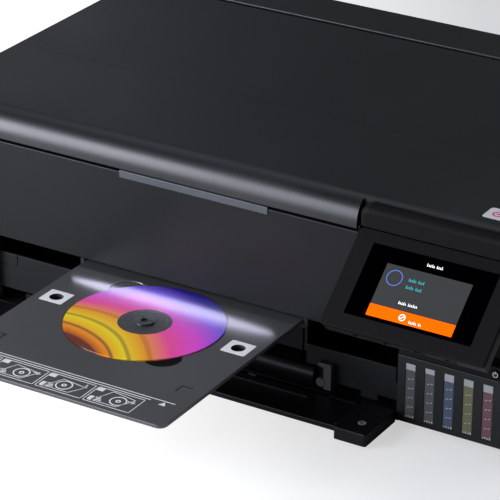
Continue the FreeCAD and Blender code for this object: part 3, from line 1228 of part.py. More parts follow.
def ac_inlet():
    x0, x1 = INLET_X
    z0, z1 = INLET_Z
    wall, deep, rear = INLET_WALL, BACK - INLET_MOUTH, BACK - INLET_DEPTH
    block = box(x0, x1, rear, BACK - SEAM, z0, z1)
    mouth = box(x0 + wall, x1 - wall, deep, BACK + 1, z0 + wall, z1 - wall)
    foot = box(x0, x1, rear, rear + INLET_FOOT, BASE_TOP, z0)
    blades = []
    for side in (-1, 1):
        x = (x0 + x1 + side * BLADE_GAP - BLADE_WIDTH) / 2
        blades.append(
            box(x, x + BLADE_WIDTH, deep - 1, deep - 1 + BLADE_LENGTH, z0 + BLADE_INSET, z1 - BLADE_INSET)
        )
    return join(join(block, foot).cut(mouth), *blades)


# ---- scanner and lid ------------------------------------------------------------------------
def glass_box(grow, z0, z1):
    """A block over the scanning window, grown on its four sides."""
    return box(GLASS_X[0] - grow, GLASS_X[1] + grow, GLASS_Y[0] - grow, GLASS_Y[1] + grow, z0, z1)


def lid_bore(x0, x1, y):
    """The hole for a lid hinge's pin, through a plate between x0 and x1."""
    return rod("x", x0 - 1, x1 + 1, y, LID_PIVOT_Z, LID_PIN_RADIUS + RUN_CLEAR)


def scanner_frame():
    """The scanner bed: a shallow closed box with a window for the glass."""
    outer = box(-SCANNER_HALF, SCANNER_HALF, SCANNER_FRONT, SCANNER_REAR, SCANNER_BOTTOM, SCANNER_TOP)
    skin = SCANNER_SKIN
    hollow = box(
        skin - SCANNER_HALF, SCANNER_HALF - skin, SCANNER_FRONT + skin, SCANNER_REAR - skin,
        SCANNER_BOTTOM + skin, SCANNER_TOP - skin,
    )
    seat_z = SCANNER_TOP - GLASS_THICKNESS
    window = glass_box(0, seat_z - GLASS_SEAT - 1, SCANNER_TOP + 1)
    rebate = glass_box(GLASS_LEDGE, seat_z, SCANNER_TOP + 1)
    rim = glass_box(GLASS_LEDGE + GLASS_RIM, seat_z - GLASS_SEAT, SCANNER_TOP)
    shape = join(outer.cut(hollow), rim).cut(Part.makeCompound([window, rebate]))
    ears = []
    for sign in (-1, 1):
        x0, x1 = sorted((sign * (HINGE_X + HINGE_GAP), sign * (HINGE_X + HINGE_GAP + HINGE_PLATE)))
        plate = box(x0, x1, SCANNER_REAR - 6, PIVOT_Y + HINGE_HEAD, SCANNER_TOP - 10, LID_PIVOT_Z)
        head = rod("x", x0, x1, PIVOT_Y, LID_PIVOT_Z, HINGE_HEAD)
        ears.append(join(plate, head).cut(lid_bore(x0, x1, PIVOT_Y)))
    return join(shape, *ears)


def scanner_glass():
    return glass_box(GLASS_LEDGE - GLASS_CLEAR, SCANNER_TOP - GLASS_THICKNESS, SCANNER_TOP)


def scan_rod():
    end = SCANNER_HALF - SCANNER_SKIN
    return rod("x", -end, end, SCAN_ROD_Y, SCAN_ROD_Z, SCAN_ROD_RADIUS)


def scan_bar():
    end = BAR_START + BAR_WIDTH
    bar = box(BAR_START, end, GLASS_Y[0] + BAR_INSET, GLASS_Y[1] - BAR_INSET, BAR_BOTTOM, BAR_TOP)
    bar = soften(bar, BAR_ROUND, lambda e: runs(e, "y"))
    side, tip = LENS_INSET
    lens = box(
        BAR_START + side, end - side, GLASS_Y[0] + tip, GLASS_Y[1] - tip, BAR_TOP - LENS_DEPTH, BAR_TOP + 1
    )
    bore = rod("x", BAR_START - 1, end + 1, SCAN_ROD_Y, SCAN_ROD_Z, SCAN_ROD_RADIUS + RUN_CLEAR)
    return bar.cut(Part.makeCompound([lens, bore]))


def hinge_brackets():
    """The fixed brackets that the scanner and the lid swing on, with their pins."""
    pieces = []
    for sign in (-1, 1):
        x0, x1 = sorted((sign * (HINGE_X - HINGE_PLATE), sign * HINGE_X))
        low = SCANNER_BOTTOM - HINGE_DROP
        plate = box(x0, x1, PIVOT_Y - HINGE_HEAD, PIVOT_Y + HINGE_HEAD, low, LID_PIVOT_Z)
        head = rod("x", x0, x1, PIVOT_Y, LID_PIVOT_Z, HINGE_HEAD)
        foot_x0, foot_x1 = sorted((sign * (HINGE_X - HINGE_PLATE), sign * (RIGHT - WALL - 0.1)))
        foot_y, foot_top = PIVOT_Y - HINGE_FOOT[0], low + HINGE_FOOT[1]
        foot = box(foot_x0, foot_x1, foot_y, PIVOT_Y + HINGE_HEAD, low, foot_top)
        reach = HINGE_PLATE + HINGE_GAP + 0.4
        pin = rod("x", x0 - reach, x1 + reach, PIVOT_Y, LID_PIVOT_Z, LID_PIN_RADIUS)
        pieces.append(join(plate, head, foot, pin))
    return Part.makeCompound(pieces)


def lid_shell():
    """The hollow document cover: the whole upper surface of the printer up to its rear seam."""
    outer = box(LEFT, RIGHT, FRONT, LID_REAR, LID_Z, BODY_HEIGHT)
    outer = soften(outer, LID_EDGE, lambda e: runs(e, "x") and near(e.CenterOfMass.y, FRONT)
                   and e.CenterOfMass.z > BODY_HEIGHT - 1)
    outer = soften(outer, LID_BARREL, lambda e: runs(e, "x") and near(e.CenterOfMass.y, LID_REAR)
                   and e.CenterOfMass.z > BODY_HEIGHT - 1)
    notch = box(LID_NOTCH_X, RIGHT + 1, FRONT - 1, LID_NOTCH_Y, 0, BODY_HEIGHT + 1)
    outer = outer.cut(notch)
    hollow = box(
        LEFT + LID_SKIN, RIGHT - LID_SKIN, FRONT + LID_SKIN, LID_REAR - LID_SKIN,
        LID_Z - 1, BODY_HEIGHT - LID_SKIN,
    )
    hollow = soften(hollow, LID_EDGE - LID_SKIN, lambda e: runs(e, "x") and e.CenterOfMass.y < 0
                    and e.CenterOfMass.z > LID_Z)
    hollow = soften(hollow, LID_BARREL - LID_SKIN, lambda e: runs(e, "x") and e.CenterOfMass.y > 0
                    and e.CenterOfMass.z > LID_PIVOT_Z)
    notch_skin = box(LID_NOTCH_X - LID_SKIN, RIGHT, FRONT, LID_NOTCH_Y + LID_SKIN, 0, BODY_HEIGHT)
    shell = outer.cut(hollow.cut(notch_skin))
    seam_y, seam_z = LID_SEAM_Y - LID_SEAM[0] / 2, BODY_HEIGHT - LID_SEAM[1]
    seam = box(LEFT - 1, RIGHT + 1, seam_y, seam_y + LID_SEAM[0], seam_z, BODY_HEIGHT + 1)
    ribs, cuts = [], [seam]
    for sign in (-1, 1):
        x1 = sign * (HINGE_X - HINGE_PLATE - HINGE_GAP)
        x0 = x1 - sign * HINGE_PLATE
        x0, x1 = sorted((x0, x1))
        rib_back, rib_z = LID_REAR - LID_SKIN + 0.5, LID_PIVOT_Z - HINGE_HEAD
        rib = box(x0, x1, PIVOT_Y - RIB_REACH, rib_back, rib_z, BODY_HEIGHT - 1).common(outer)
        ribs.append(rib.cut(lid_bore(x0, x1, PIVOT_Y)))
        far = HINGE_X + 2 * HINGE_GAP + HINGE_PLATE
        n0, n1 = sorted((sign * (HINGE_X - HINGE_PLATE - HINGE_GAP), sign * far))
        slot_top = LID_PIVOT_Z + HINGE_HEAD + HINGE_CLEAR_TOP
        cuts.append(box(n0, n1, PIVOT_Y, LID_REAR + 1, LID_Z - 1, slot_top))
    return join(shell, *ribs).cut(Part.makeCompound(cuts))


def lid_liner():
    """The inner plate that closes the underside of the lid."""
    gap = LID_SKIN + SEAT
    plate = prism_z(
        [(LEFT + gap, FRONT + gap), (LID_NOTCH_X - gap, FRONT + gap),
         (LID_NOTCH_X - gap, LID_NOTCH_Y + gap), (RIGHT - gap, LID_NOTCH_Y + gap),
         (RIGHT - gap, LID_REAR - gap), (LEFT + gap, LID_REAR - gap)],
        LID_Z, LID_Z + LINER_THICKNESS,
    )
    clears = [
        box(
            *sorted((sign * HINGE_NOTCH[0], sign * HINGE_NOTCH[1])), SCANNER_REAR - 8, LID_REAR, 0, BODY_HEIGHT
        )
        for sign in (-1, 1)
    ]
    return plate.cut(Part.makeCompound(clears))


def lid_pad():
    pad = glass_box(PAD_GROW, LID_Z - PAD_THICKNESS, LID_Z)
    return soften(pad, PAD_CORNER, lambda e: runs(e, "z"))


# ---- rear paper feed ------------------------------------------------------------------------
def feed_cover():
    """The lid of the rear paper feed, level with the document cover."""
    outer = box(LEFT, RIGHT, FEED_COVER_FRONT, FEED_COVER_REAR, LID_Z, BODY_HEIGHT)
    outer = soften(outer, LID_BARREL, lambda e: runs(e, "x") and near(e.CenterOfMass.y, FEED_COVER_REAR)
                   and e.CenterOfMass.z > BODY_HEIGHT - 1)
    outer = soften(outer, FACE_ROUND, lambda e: runs(e, "x") and near(e.CenterOfMass.y, FEED_COVER_FRONT)
                   and e.CenterOfMass.z > BODY_HEIGHT - 1)
    reach = FEED_PIVOT_Y - FEED_COVER_FRONT
    swing = join(
        rod("x", LEFT - 1, RIGHT + 1, FEED_PIVOT_Y, LID_PIVOT_Z, reach),
        box(LEFT - 1, RIGHT + 1, FEED_COVER_FRONT, FEED_COVER_REAR, LID_PIVOT_Z, BODY_HEIGHT),
    )
    outer = outer.common(swing)
    setback = reach - math.sqrt(reach**2 - (LID_PIVOT_Z - LID_Z) ** 2)
    hollow = box(
        LEFT + LID_SKIN, RIGHT - LID_SKIN, FEED_COVER_FRONT + LID_SKIN + setback,
        FEED_COVER_REAR - LID_SKIN, LID_Z - 1, BODY_HEIGHT - LID_SKIN,
    )
    hollow = soften(hollow, LID_BARREL - LID_SKIN, lambda e: runs(e, "x")
                    and e.CenterOfMass.y > FEED_COVER_REAR - 5 and e.CenterOfMass.z > LID_Z)
    shell = outer.cut(hollow)
    ribs, cuts = [], []
    for sign in (-1, 1):
        for far in (False, True):
            edge = FEED_HINGE_X + HINGE_PLATE + HINGE_GAP if far else FEED_HINGE_X - HINGE_GAP - HINGE_PLATE
            x0, x1 = sorted((sign * edge, sign * (edge + HINGE_PLATE)))
            rib_front, rib_z = FEED_PIVOT_Y - FEED_RIB_REACH, LID_PIVOT_Z - HINGE_HEAD
            rib = box(x0, x1, rib_front, FEED_COVER_REAR - 2, rib_z, BODY_HEIGHT - 1).common(outer)
            ribs.append(rib.cut(lid_bore(x0, x1, FEED_PIVOT_Y)))
        far_x = FEED_HINGE_X + HINGE_PLATE + HINGE_GAP
        n0, n1 = sorted((sign * (FEED_HINGE_X - HINGE_GAP), sign * far_x))
        slot_top = LID_PIVOT_Z + HINGE_HEAD + HINGE_CLEAR_TOP
        cuts.append(box(n0, n1, FEED_PIVOT_Y, FEED_COVER_REAR + 1, LID_Z - 1, slot_top))
    return join(shell, *ribs).cut(Part.makeCompound(cuts))


def feed_chute():
    """The sloping plate that holds rear-fed paper, with its side walls."""
    (y1, z1), (y0, z0) = FEED_SLOPE_TOP, FEED_SLOPE_FOOT
    half = FEED_HALF_WIDTH
    slope = [(y0, z0), (y1, z1), (y1 + FEED_PLATE, z1), (y0 + FEED_PLATE, z0)]
    plate = prism_x(slope, -half, half)
    foot = box(-half, half, y0 - 4, y0 + FEED_PLATE + 4, DECK_TOP, z0 + 2)
    reach_top, reach_foot = FEED_CHEEK_REACH
    cheeks = []
    for sign in (-1, 1):
        x0, x1 = sorted((sign * (half - FEED_CHEEK), sign * half))
        cheeks.append(prism_x([(y0, z0), (y1, z1), (y1 - reach_top, z1), (y0 - reach_foot, z0)], x0, x1))
    stay_low, stay_top = (z1 - drop for drop in FEED_STAY_Z)
    stays = [
        box(x, x + FEED_CHEEK, y1, BACK - WALL - SEAT, stay_low, stay_top) for x in FEED_STAY_X
    ]
    return join(plate, foot, *cheeks, *stays)


def screws():
    """The pan-head screws that hold the back cover."""
    heads = []
    long, thin, depth = SCREW_CROSS
    top = BACK + SCREW_HEAD
    for x in SCREW_X:
        head = rod("y", BACK, top, x, SCREW_Z, SCREW_RADIUS)
        head = soften(head, SCREW_ROUND, lambda e: near(e.CenterOfMass.y, top))
        cross = join(
            box(x - long, x + long, top - depth, top + 1, SCREW_Z - thin, SCREW_Z + thin),
            box(x - thin, x + thin, top - depth, top + 1, SCREW_Z - long, SCREW_Z + long),
        )
        heads.append(head.cut(cross))
    return Part.makeCompound(heads)


def pieces():
    """Every node with its shape."""
    nodes = {
        "base_pan": base_pan(),
        "feet": feet(),
        "side_cover_left": side_cover(-1),
        "side_cover_right": side_cover(1),
        "rear_cover": rear_cover(),
        "rear_cover_screws": screws(),
        "front_panel": front_panel(),
        "grip_strip": grip_strip(),
        "panel_mount": panel_mount(),
        "panel_cap": panel_cap(),
        "power_button": power_button(),
        "panel_bezel": panel_bezel(),
        "panel_display": panel_display(),
        "panel_back": panel_back(),
        "front_cover": front_cover(),
        "cassette_lower": cassette_lower(),
        "cassette_grip": cassette_grip(),
        "lock_lever": lock_lever(),
        "edge_guide_left": edge_guide(-1),
        "edge_guide_right": edge_guide(1),
        "cassette_upper": cassette_upper(),
        "disc_tray": disc_tray(),
        "optical_disc": optical_disc(),
        "disc_clamp": disc_clamp(),
        "disc_channel": disc_channel(),
        "tank_housing": tank_housing(),
        "level_windows": level_windows(),
        "tank_caps": tank_caps(),
        "chassis": chassis(),
        "platen": platen(),
        "main_frame": main_frame(),
        "carriage_rod": carriage_rod(),
        "carriage_body": carriage_body(),
        "print_head": print_head(),
        "carriage_belt": carriage_belt(),
        "belt_pulley_drive": belt_pulley(PULLEY_X[0]),
        "belt_pulley_idler": belt_pulley(PULLEY_X[1]),
        "feed_roller": feed_roller(),
        "drive_motors": drive_motors(),
        "capping_station": capping_station(),
        "power_supply": power_supply(),
        "main_board": main_board(),
        "rear_ports": rear_ports(),
        "ac_inlet": ac_inlet(),
        "hinge_brackets": hinge_brackets(),
        "scanner_frame": scanner_frame(),
        "scanner_glass": scanner_glass(),
        "scan_rod": scan_rod(),
        "scan_bar": scan_bar(),
        "lid_shell": lid_shell(),
        "lid_liner": lid_liner(),
        "lid_pad": lid_pad(),
        "feed_cover": feed_cover(),
        "feed_chute": feed_chute(),
    }
    for i in range(TANK_COUNT):
        nodes[f"ink_tank_{i + 1}"] = ink_tank(i)
    return nodes


os.makedirs("parts", exist_ok=True)
for name, shape in pieces().items():
    shape.exportStep(f"parts/{name}.step")
    print(f"{name:20s} solids {len(shape.Solids)} valid {shape.isValid()} volume {shape.Volume:.0f}")
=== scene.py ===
"""Looks of a desktop ink-tank photo printer with a disc tray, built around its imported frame.

Every length is in metres in the frame's own axes: +X to the printer's right, +Y to its back
and +Z up from the table. Small sizes are written in millimetres through the unit MM.
"""

import json
import logging
import math
from dataclasses import dataclass
from enum import Enum

import bpy
from mathutils import Matrix, Vector

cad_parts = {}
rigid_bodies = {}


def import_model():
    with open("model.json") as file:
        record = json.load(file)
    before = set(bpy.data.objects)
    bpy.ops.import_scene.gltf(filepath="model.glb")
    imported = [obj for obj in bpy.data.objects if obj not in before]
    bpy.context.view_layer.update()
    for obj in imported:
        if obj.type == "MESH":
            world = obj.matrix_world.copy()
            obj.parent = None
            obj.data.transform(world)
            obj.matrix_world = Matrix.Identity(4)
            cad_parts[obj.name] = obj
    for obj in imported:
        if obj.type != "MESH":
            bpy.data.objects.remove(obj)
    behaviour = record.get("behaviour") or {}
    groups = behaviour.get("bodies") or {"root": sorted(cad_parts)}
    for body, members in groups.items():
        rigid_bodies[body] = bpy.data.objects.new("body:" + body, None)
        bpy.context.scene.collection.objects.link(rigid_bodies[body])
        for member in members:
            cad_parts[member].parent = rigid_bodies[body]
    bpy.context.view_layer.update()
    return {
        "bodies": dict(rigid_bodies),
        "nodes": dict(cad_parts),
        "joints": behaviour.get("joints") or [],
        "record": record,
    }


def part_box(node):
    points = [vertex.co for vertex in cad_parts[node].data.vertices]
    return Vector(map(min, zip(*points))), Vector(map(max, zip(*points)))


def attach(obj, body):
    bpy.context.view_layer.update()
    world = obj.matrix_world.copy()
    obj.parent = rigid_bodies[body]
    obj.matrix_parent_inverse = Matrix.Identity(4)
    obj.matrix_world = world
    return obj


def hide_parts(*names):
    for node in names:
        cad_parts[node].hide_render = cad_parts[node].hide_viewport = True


LOG = logging.getLogger("printer")
MM = 0.001


# ---------------------------------------------------------------------------------------------
# Small tools
# ---------------------------------------------------------------------------------------------
def linear(hex_colour: str) -> tuple[float, float, float, float]:
    """Turns an sRGB hex colour into the linear colour that a shader socket takes.

    Args:
        hex_colour: The colour as "#rrggbb".

    Returns:
        Linear red, green, blue and an alpha of one.
    """
    channels = [int(hex_colour[i : i + 2], 16) / 255 for i in (1, 3, 5)]
    curve = [c / 12.92 if c <= 0.04045 else ((c + 0.055) / 1.055) ** 2.4 for c in channels]
    return (*curve, 1.0)


def add_node(
    tree: bpy.types.NodeTree, kind: str, sockets: dict | None = None, **settings: object
) -> bpy.types.Node:
    """Adds a node with its settings, its fixed values and its links.

    Args:
        tree: The node tree that takes the node.
        kind: The node's type, without its leading "ShaderNode".
        sockets: Input name or number to a value, or to the output socket that feeds it.
        **settings: Attributes of the node.

    Returns:
        The new node.
    """
    node = tree.nodes.new("ShaderNode" + kind)
    for name, value in settings.items():
        setattr(node, name, value)
    for key, source in (sockets or {}).items():
        if isinstance(source, bpy.types.NodeSocket):
            tree.links.new(source, node.inputs[key])
        else:
            node.inputs[key].default_value = source
    return node


def deselect_all() -> None:
    """Leaves edit mode and deselects every object."""
    if bpy.context.object and bpy.context.object.mode != "OBJECT":
        bpy.ops.object.mode_set(mode="OBJECT")
    bpy.ops.object.select_all(action="DESELECT")


def make_active(obj: bpy.types.Object) -> None:
    """Selects one object alone and makes it the active one."""
    deselect_all()
    obj.select_set(True)
    bpy.context.view_layer.objects.active = obj


def settle(obj: bpy.types.Object, name: str, matrix: Matrix | None = None) -> bpy.types.Object:
    """Moves an object's place into its mesh and names it.

    Args:
        obj: The object.
        name: Its new name.
        matrix: A last move, from drawing axes to the frame's axes.

    Returns:
        The same object, at the origin.
    """
    make_active(obj)
    bpy.ops.object.transform_apply(location=True, rotation=True, scale=True)
    if matrix is not None:
        obj.data.transform(matrix)
    obj.name = name
    obj.data.name = name
    return obj


def apply_modifier(obj: bpy.types.Object, kind: str, **settings: object) -> None:
    """Adds one modifier with its settings and applies it."""
    make_active(obj)
    modifier = obj.modifiers.new(kind.lower(), kind)
    for key, value in settings.items():
        setattr(modifier, key, value)
    bpy.ops.object.modifier_apply(modifier=modifier.name)


def smooth(obj: bpy.types.Object, angle: float = 35.0) -> None:
    """Smooths an object's shading except at edges sharper than the angle in degrees."""
    make_active(obj)
    bpy.ops.object.shade_smooth_by_angle(angle=math.radians(angle))


def pick_faces(obj: bpy.types.Object, wanted) -> None:
    """Enters edit mode with just the faces selected that the test picks."""
    make_active(obj)
    bpy.ops.object.mode_set(mode="EDIT")
    bpy.ops.mesh.select_mode(type="FACE")
    bpy.ops.mesh.select_all(action="DESELECT")
    bpy.ops.object.mode_set(mode="OBJECT")
    for face in obj.data.polygons:
        face.select = bool(wanted(face))
    bpy.ops.object.mode_set(mode="EDIT")


def pick_edges(obj: bpy.types.Object, wanted) -> None:
    """Enters edit mode with just the edges selected whose two ends pass the test."""
    make_active(obj)
    bpy.ops.object.mode_set(mode="EDIT")
    bpy.ops.mesh.select_mode(type="EDGE")
    bpy.ops.mesh.select_all(action="DESELECT")
    bpy.ops.object.mode_set(mode="OBJECT")
    points = obj.data.vertices
    for edge in obj.data.edges:
        a, b = (points[i].co for i in edge.vertices)
        edge.select = bool(wanted(a, b))
    bpy.ops.object.mode_set(mode="EDIT")


def joined(pieces: list[bpy.types.Object], name: str) -> bpy.types.Object:
    """Joins several mesh objects into one and names it."""
    make_active(pieces[0])
    for piece in pieces:
        piece.select_set(True)
    bpy.ops.object.join()
    whole = bpy.context.object
    whole.name = name
    whole.data.name = name
    return whole


@dataclass(frozen=True)
class Face:
    """A flat place on the printer that marks and small pieces are laid out on.

    Attributes:
        origin: The point that sizes on the face are counted from.
        right: The face's own rightward direction.
        up: The face's own upward direction.
    """

    origin: tuple[float, float, float]
    right: tuple[float, float, float] = (1.0, 0.0, 0.0)
    up: tuple[float, float, float] = (0.0, 1.0, 0.0)

    def matrix(self) -> Matrix:
        """The move from drawing axes, with +Z out of the face, to the frame's axes."""
        x, y = Vector(self.right).normalized(), Vector(self.up).normalized()
        z = x.cross(y)
        turn = Matrix((x, y, z)).transposed().to_4x4()
        return Matrix.Translation(Vector(self.origin)) @ turn

    def plate(
        self, name: str, left: float, right: float, low: float, high: float, thick: float,
        corner: float = 0.0, sink: float = 0.0,
    ) -> bpy.types.Object:
        """Builds a thin plate on the face, with rounded corners where it has them.

        Args:
            name: The piece's name.
            left: Its left edge on the face.
            right: Its right edge.
            low: Its lower edge.
            high: Its upper edge.
            thick: How far it stands out of the face.
            corner: The radius of its corners.
            sink: How far it reaches into the face.

        Returns:
            The plate.
        """
        deselect_all()
        bpy.ops.mesh.primitive_cube_add(
            size=1, location=((left + right) / 2, (low + high) / 2, (thick - sink) / 2)
        )
        plate = bpy.context.object
        plate.scale = (right - left, high - low, thick + sink)
        bpy.ops.object.transform_apply(location=True, rotation=True, scale=True)
        if corner > 0:
            pick_edges(plate, lambda a, b: abs(a.z - b.z) > (thick + sink) / 2)
            bpy.ops.mesh.bevel(offset=corner, segments=5, affect="EDGES")
            bpy.ops.object.mode_set(mode="OBJECT")
        return settle(plate, name, self.matrix())

    def ring(
        self, name: str, x: float, y: float, outer: float, inner: float, thick: float,
        sides: int = 48
    ) -> bpy.types.Object:
        """Builds a flat ring, or a round plate where the inner radius is zero."""
        deselect_all()
        bpy.ops.mesh.primitive_cylinder_add(
            vertices=sides, radius=outer, depth=thick, location=(x, y, thick / 2)
        )
        ring = bpy.context.object
        bpy.ops.object.transform_apply(location=True, rotation=True, scale=True)
        if inner > 0:
            pick_faces(ring, lambda f: abs(f.normal.z) > 0.9)
            bpy.ops.mesh.inset(thickness=outer - inner)
            bpy.ops.mesh.bridge_edge_loops()
            bpy.ops.object.mode_set(mode="OBJECT")
        return settle(ring, name, self.matrix())

    def bar(
        self, name: str, start: tuple[float, float], end: tuple[float, float], wide: float,
        thick: float
    ) -> bpy.types.Object:
        """Builds a thin straight bar between two points of the face."""
        a, b = Vector((*start, 0)), Vector((*end, 0))
        along = b - a
        deselect_all()
        bpy.ops.mesh.primitive_cube_add(size=1)
        bar = bpy.context.object
        bar.scale = (along.length + wide, wide, thick)
        bpy.ops.object.transform_apply(location=True, rotation=True, scale=True)
        turn = Matrix.Rotation(math.atan2(along.y, along.x), 4, "Z")
        place = Matrix.Translation((a + b) / 2 + Vector((0, 0, thick / 2))) @ turn
        return settle(bar, name, self.matrix() @ place)


# ---------------------------------------------------------------------------------------------
# Finishes
# ---------------------------------------------------------------------------------------------
@dataclass(frozen=True)
class Finish:
    """What every finish has: a name, a colour and a roughness.

    Attributes:
        name: The material's name.
        colour: The main sRGB colour.
        roughness: How much the surface blurs what it reflects.
    """

    name: str
    colour: str
    roughness: float

    def start(self) -> tuple[bpy.types.Material, bpy.types.NodeTree, bpy.types.Node,
                             bpy.types.Node]:
        """Starts a material: its tree, its shader and its object coordinates."""
        material = bpy.data.materials.new(self.name)
        material.use_nodes = True
        tree = material.node_tree
        tree.nodes.clear()
        shader = add_node(
            tree, "BsdfPrincipled",
            {"Base Color": linear(self.colour), "Roughness": self.roughness}
        )
        add_node(tree, "OutputMaterial", {"Surface": shader.outputs["BSDF"]})
        place = add_node(tree, "TexCoord")
        return material, tree, shader, place

    def build(self) -> bpy.types.Material:
        """Builds the material."""
        raise NotImplementedError

    def material(self) -> bpy.types.Material:
        """The finish's material, built once."""
        return bpy.data.materials.get(self.name) or self.build()


@dataclass(frozen=True)
class MouldedPlastic(Finish):
    """ABS moulded against a spark-eroded tool.

    The tool leaves a fine pebbled grain, which turns a sharp reflection into a soft sheen, and
    the plastic's colour and gloss drift slightly over a large face.

    Attributes:
        drift: A second colour that the first one drifts towards.
        grain_mm: The spacing of the pebbles. Real grain is near 0.15 mm; it is drawn coarser so
            that it shows.
        grain_depth_mm: How deep the pebbles are.
        gloss_drift: How far the roughness drifts over the face.
        mirror: How strongly it reflects. A matt finish with air in its skin reflects less.
    """

    drift: str = "#202224"
    grain_mm: float = 0.6
    grain_depth_mm: float = 0.02
    gloss_drift: float = 0.05
    mirror: float = 0.5

    def build(self) -> bpy.types.Material:
        """Builds the material."""
        material, tree, shader, place = self.start()
        cloud = add_node(
            tree, "TexNoise", {"Vector": place.outputs["Object"], "Scale": 9.0, "Detail": 3.0}
        )
        mixed = add_node(
            tree, "Mix",
            {"Factor": cloud.outputs["Fac"], 6: linear(self.colour), 7: linear(self.drift)},
            data_type="RGBA",
        )
        tree.links.new(mixed.outputs[2], shader.inputs["Base Color"])
        gloss = add_node(
            tree, "MapRange",
            {
                "Value": cloud.outputs["Fac"], "From Min": 0.3, "From Max": 0.7,
                "To Min": self.roughness - self.gloss_drift,
                "To Max": self.roughness + self.gloss_drift,
            },
        )
        tree.links.new(gloss.outputs["Result"], shader.inputs["Roughness"])
        grain = add_node(
            tree, "TexNoise",
            {"Vector": place.outputs["Object"], "Scale": 1 / (self.grain_mm * MM), "Detail": 2.0},
        )
        bump = add_node(
            tree, "Bump",
            {"Height": grain.outputs["Fac"], "Distance": self.grain_depth_mm * MM,
             "Strength": 1.0},
        )
        tree.links.new(bump.outputs["Normal"], shader.inputs["Normal"])
        shader.inputs["IOR"].default_value = 1.53
        shader.inputs["Specular IOR Level"].default_value = self.mirror
        return material


@dataclass(frozen=True)
class SmoothPlastic(Finish):
    """Polished ABS or polycarbonate, moulded in a mirror-finished tool.

    It reflects clearly, with faint flow waviness and a few hairline scuffs.

    Attributes:
        scuff: How much rougher the scuffed hairlines are.
        glow: The strength of the light that a lit display part gives off.
        mirror: How strongly it reflects. An anti-glare film over a display takes most of it away.
    """

    scuff: float = 0.10
    glow: float = 0.0
    mirror: float = 0.5

    def build(self) -> bpy.types.Material:
        """Builds the material."""
        material, tree, shader, place = self.start()
        stretched = add_node(
            tree, "Mapping", {"Vector": place.outputs["Object"], "Scale": (60.0, 900.0, 900.0)}
        )
        hair = add_node(
            tree, "TexNoise", {"Vector": stretched.outputs["Vector"], "Scale": 1.0, "Detail": 4.0}
        )
        gloss = add_node(
            tree, "MapRange",
            {
                "Value": hair.outputs["Fac"], "From Min": 0.55, "From Max": 0.75,
                "To Min": self.roughness, "To Max": self.roughness + self.scuff,
            },
        )
        tree.links.new(gloss.outputs["Result"], shader.inputs["Roughness"])
        wave = add_node(
            tree, "TexNoise", {"Vector": place.outputs["Object"], "Scale": 40.0, "Detail": 1.0}
        )
        bump = add_node(
            tree, "Bump", {"Height": wave.outputs["Fac"], "Distance": 0.02 * MM, "Strength": 0.6}
        )
        tree.links.new(bump.outputs["Normal"], shader.inputs["Normal"])
        shader.inputs["IOR"].default_value = 1.53
        shader.inputs["Specular IOR Level"].default_value = self.mirror
        if self.glow > 0:
            shader.inputs["Emission Color"].default_value = linear(self.colour)
            shader.inputs["Emission Strength"].default_value = self.glow
        return material


@dataclass(frozen=True)
class RolledSteel(Finish):
    """Zinc-plated or turned steel, with fine marks along its rolling or turning direction.

    Attributes:
        along: The axis letter that the marks run along.
        mark_mm: The spacing of the marks across that axis.
        metallic: Not an attribute; every steel here is bare metal, with Metallic at one.
    """

    along: str = "x"
    mark_mm: float = 0.5

    def build(self) -> bpy.types.Material:
        """Builds the material."""
        material, tree, shader, place = self.start()
        fine = 1 / (self.mark_mm * MM)
        scale = [fine if axis != self.along else fine / 60 for axis in "xyz"]
        mapping = add_node(tree, "Mapping", {"Vector": place.outputs["Object"], "Scale": scale})
        marks = add_node(
            tree, "TexNoise", {"Vector": mapping.outputs["Vector"], "Scale": 1.0, "Detail": 3.0}
        )
        gloss = add_node(
            tree, "MapRange",
            {
                "Value": marks.outputs["Fac"], "From Min": 0.3, "From Max": 0.7,
                "To Min": self.roughness - 0.08, "To Max": self.roughness + 0.10,
            },
        )
        tree.links.new(gloss.outputs["Result"], shader.inputs["Roughness"])
        bump = add_node(
            tree, "Bump", {"Height": marks.outputs["Fac"], "Distance": 0.01 * MM, "Strength": 0.5}
        )
        tree.links.new(bump.outputs["Normal"], shader.inputs["Normal"])
        shader.inputs["Metallic"].default_value = 1.0
        return material


@dataclass(frozen=True)
class SoftSheet(Finish):
    """Foam or rubber: a dull surface full of small open cells.

    Attributes:
        cell_mm: The size of a cell.
        cell_depth_mm: The depth of a cell.
    """

    cell_mm: float = 0.8
    cell_depth_mm: float = 0.06

    def build(self) -> bpy.types.Material:
        """Builds the material."""
        material, tree, shader, place = self.start()
        cells = add_node(
            tree, "TexVoronoi",
            {"Vector": place.outputs["Object"], "Scale": 1 / (self.cell_mm * MM)},
        )
        bump = add_node(
            tree, "Bump",
            {"Height": cells.outputs["Distance"], "Distance": self.cell_depth_mm * MM,
             "Strength": 0.7},
        )
        tree.links.new(bump.outputs["Normal"], shader.inputs["Normal"])
        shader.inputs["IOR"].default_value = 1.5
        return material


@dataclass(frozen=True)
class ClearSheet(Finish):
    """Flat float glass over the scanner."""

    def build(self) -> bpy.types.Material:
        """Builds the material."""
        material, tree, shader, place = self.start()
        shader.inputs["Transmission Weight"].default_value = 1.0
        shader.inputs["IOR"].default_value = 1.45
        dust = add_node(
            tree, "TexNoise", {"Vector": place.outputs["Object"], "Scale": 25.0, "Detail": 5.0}
        )
        gloss = add_node(
            tree, "MapRange",
            {"Value": dust.outputs["Fac"], "From Min": 0.5, "From Max": 0.8, "To Min": 0.02,
             "To Max": 0.08},
        )
        tree.links.new(gloss.outputs["Result"], shader.inputs["Roughness"])
        return material


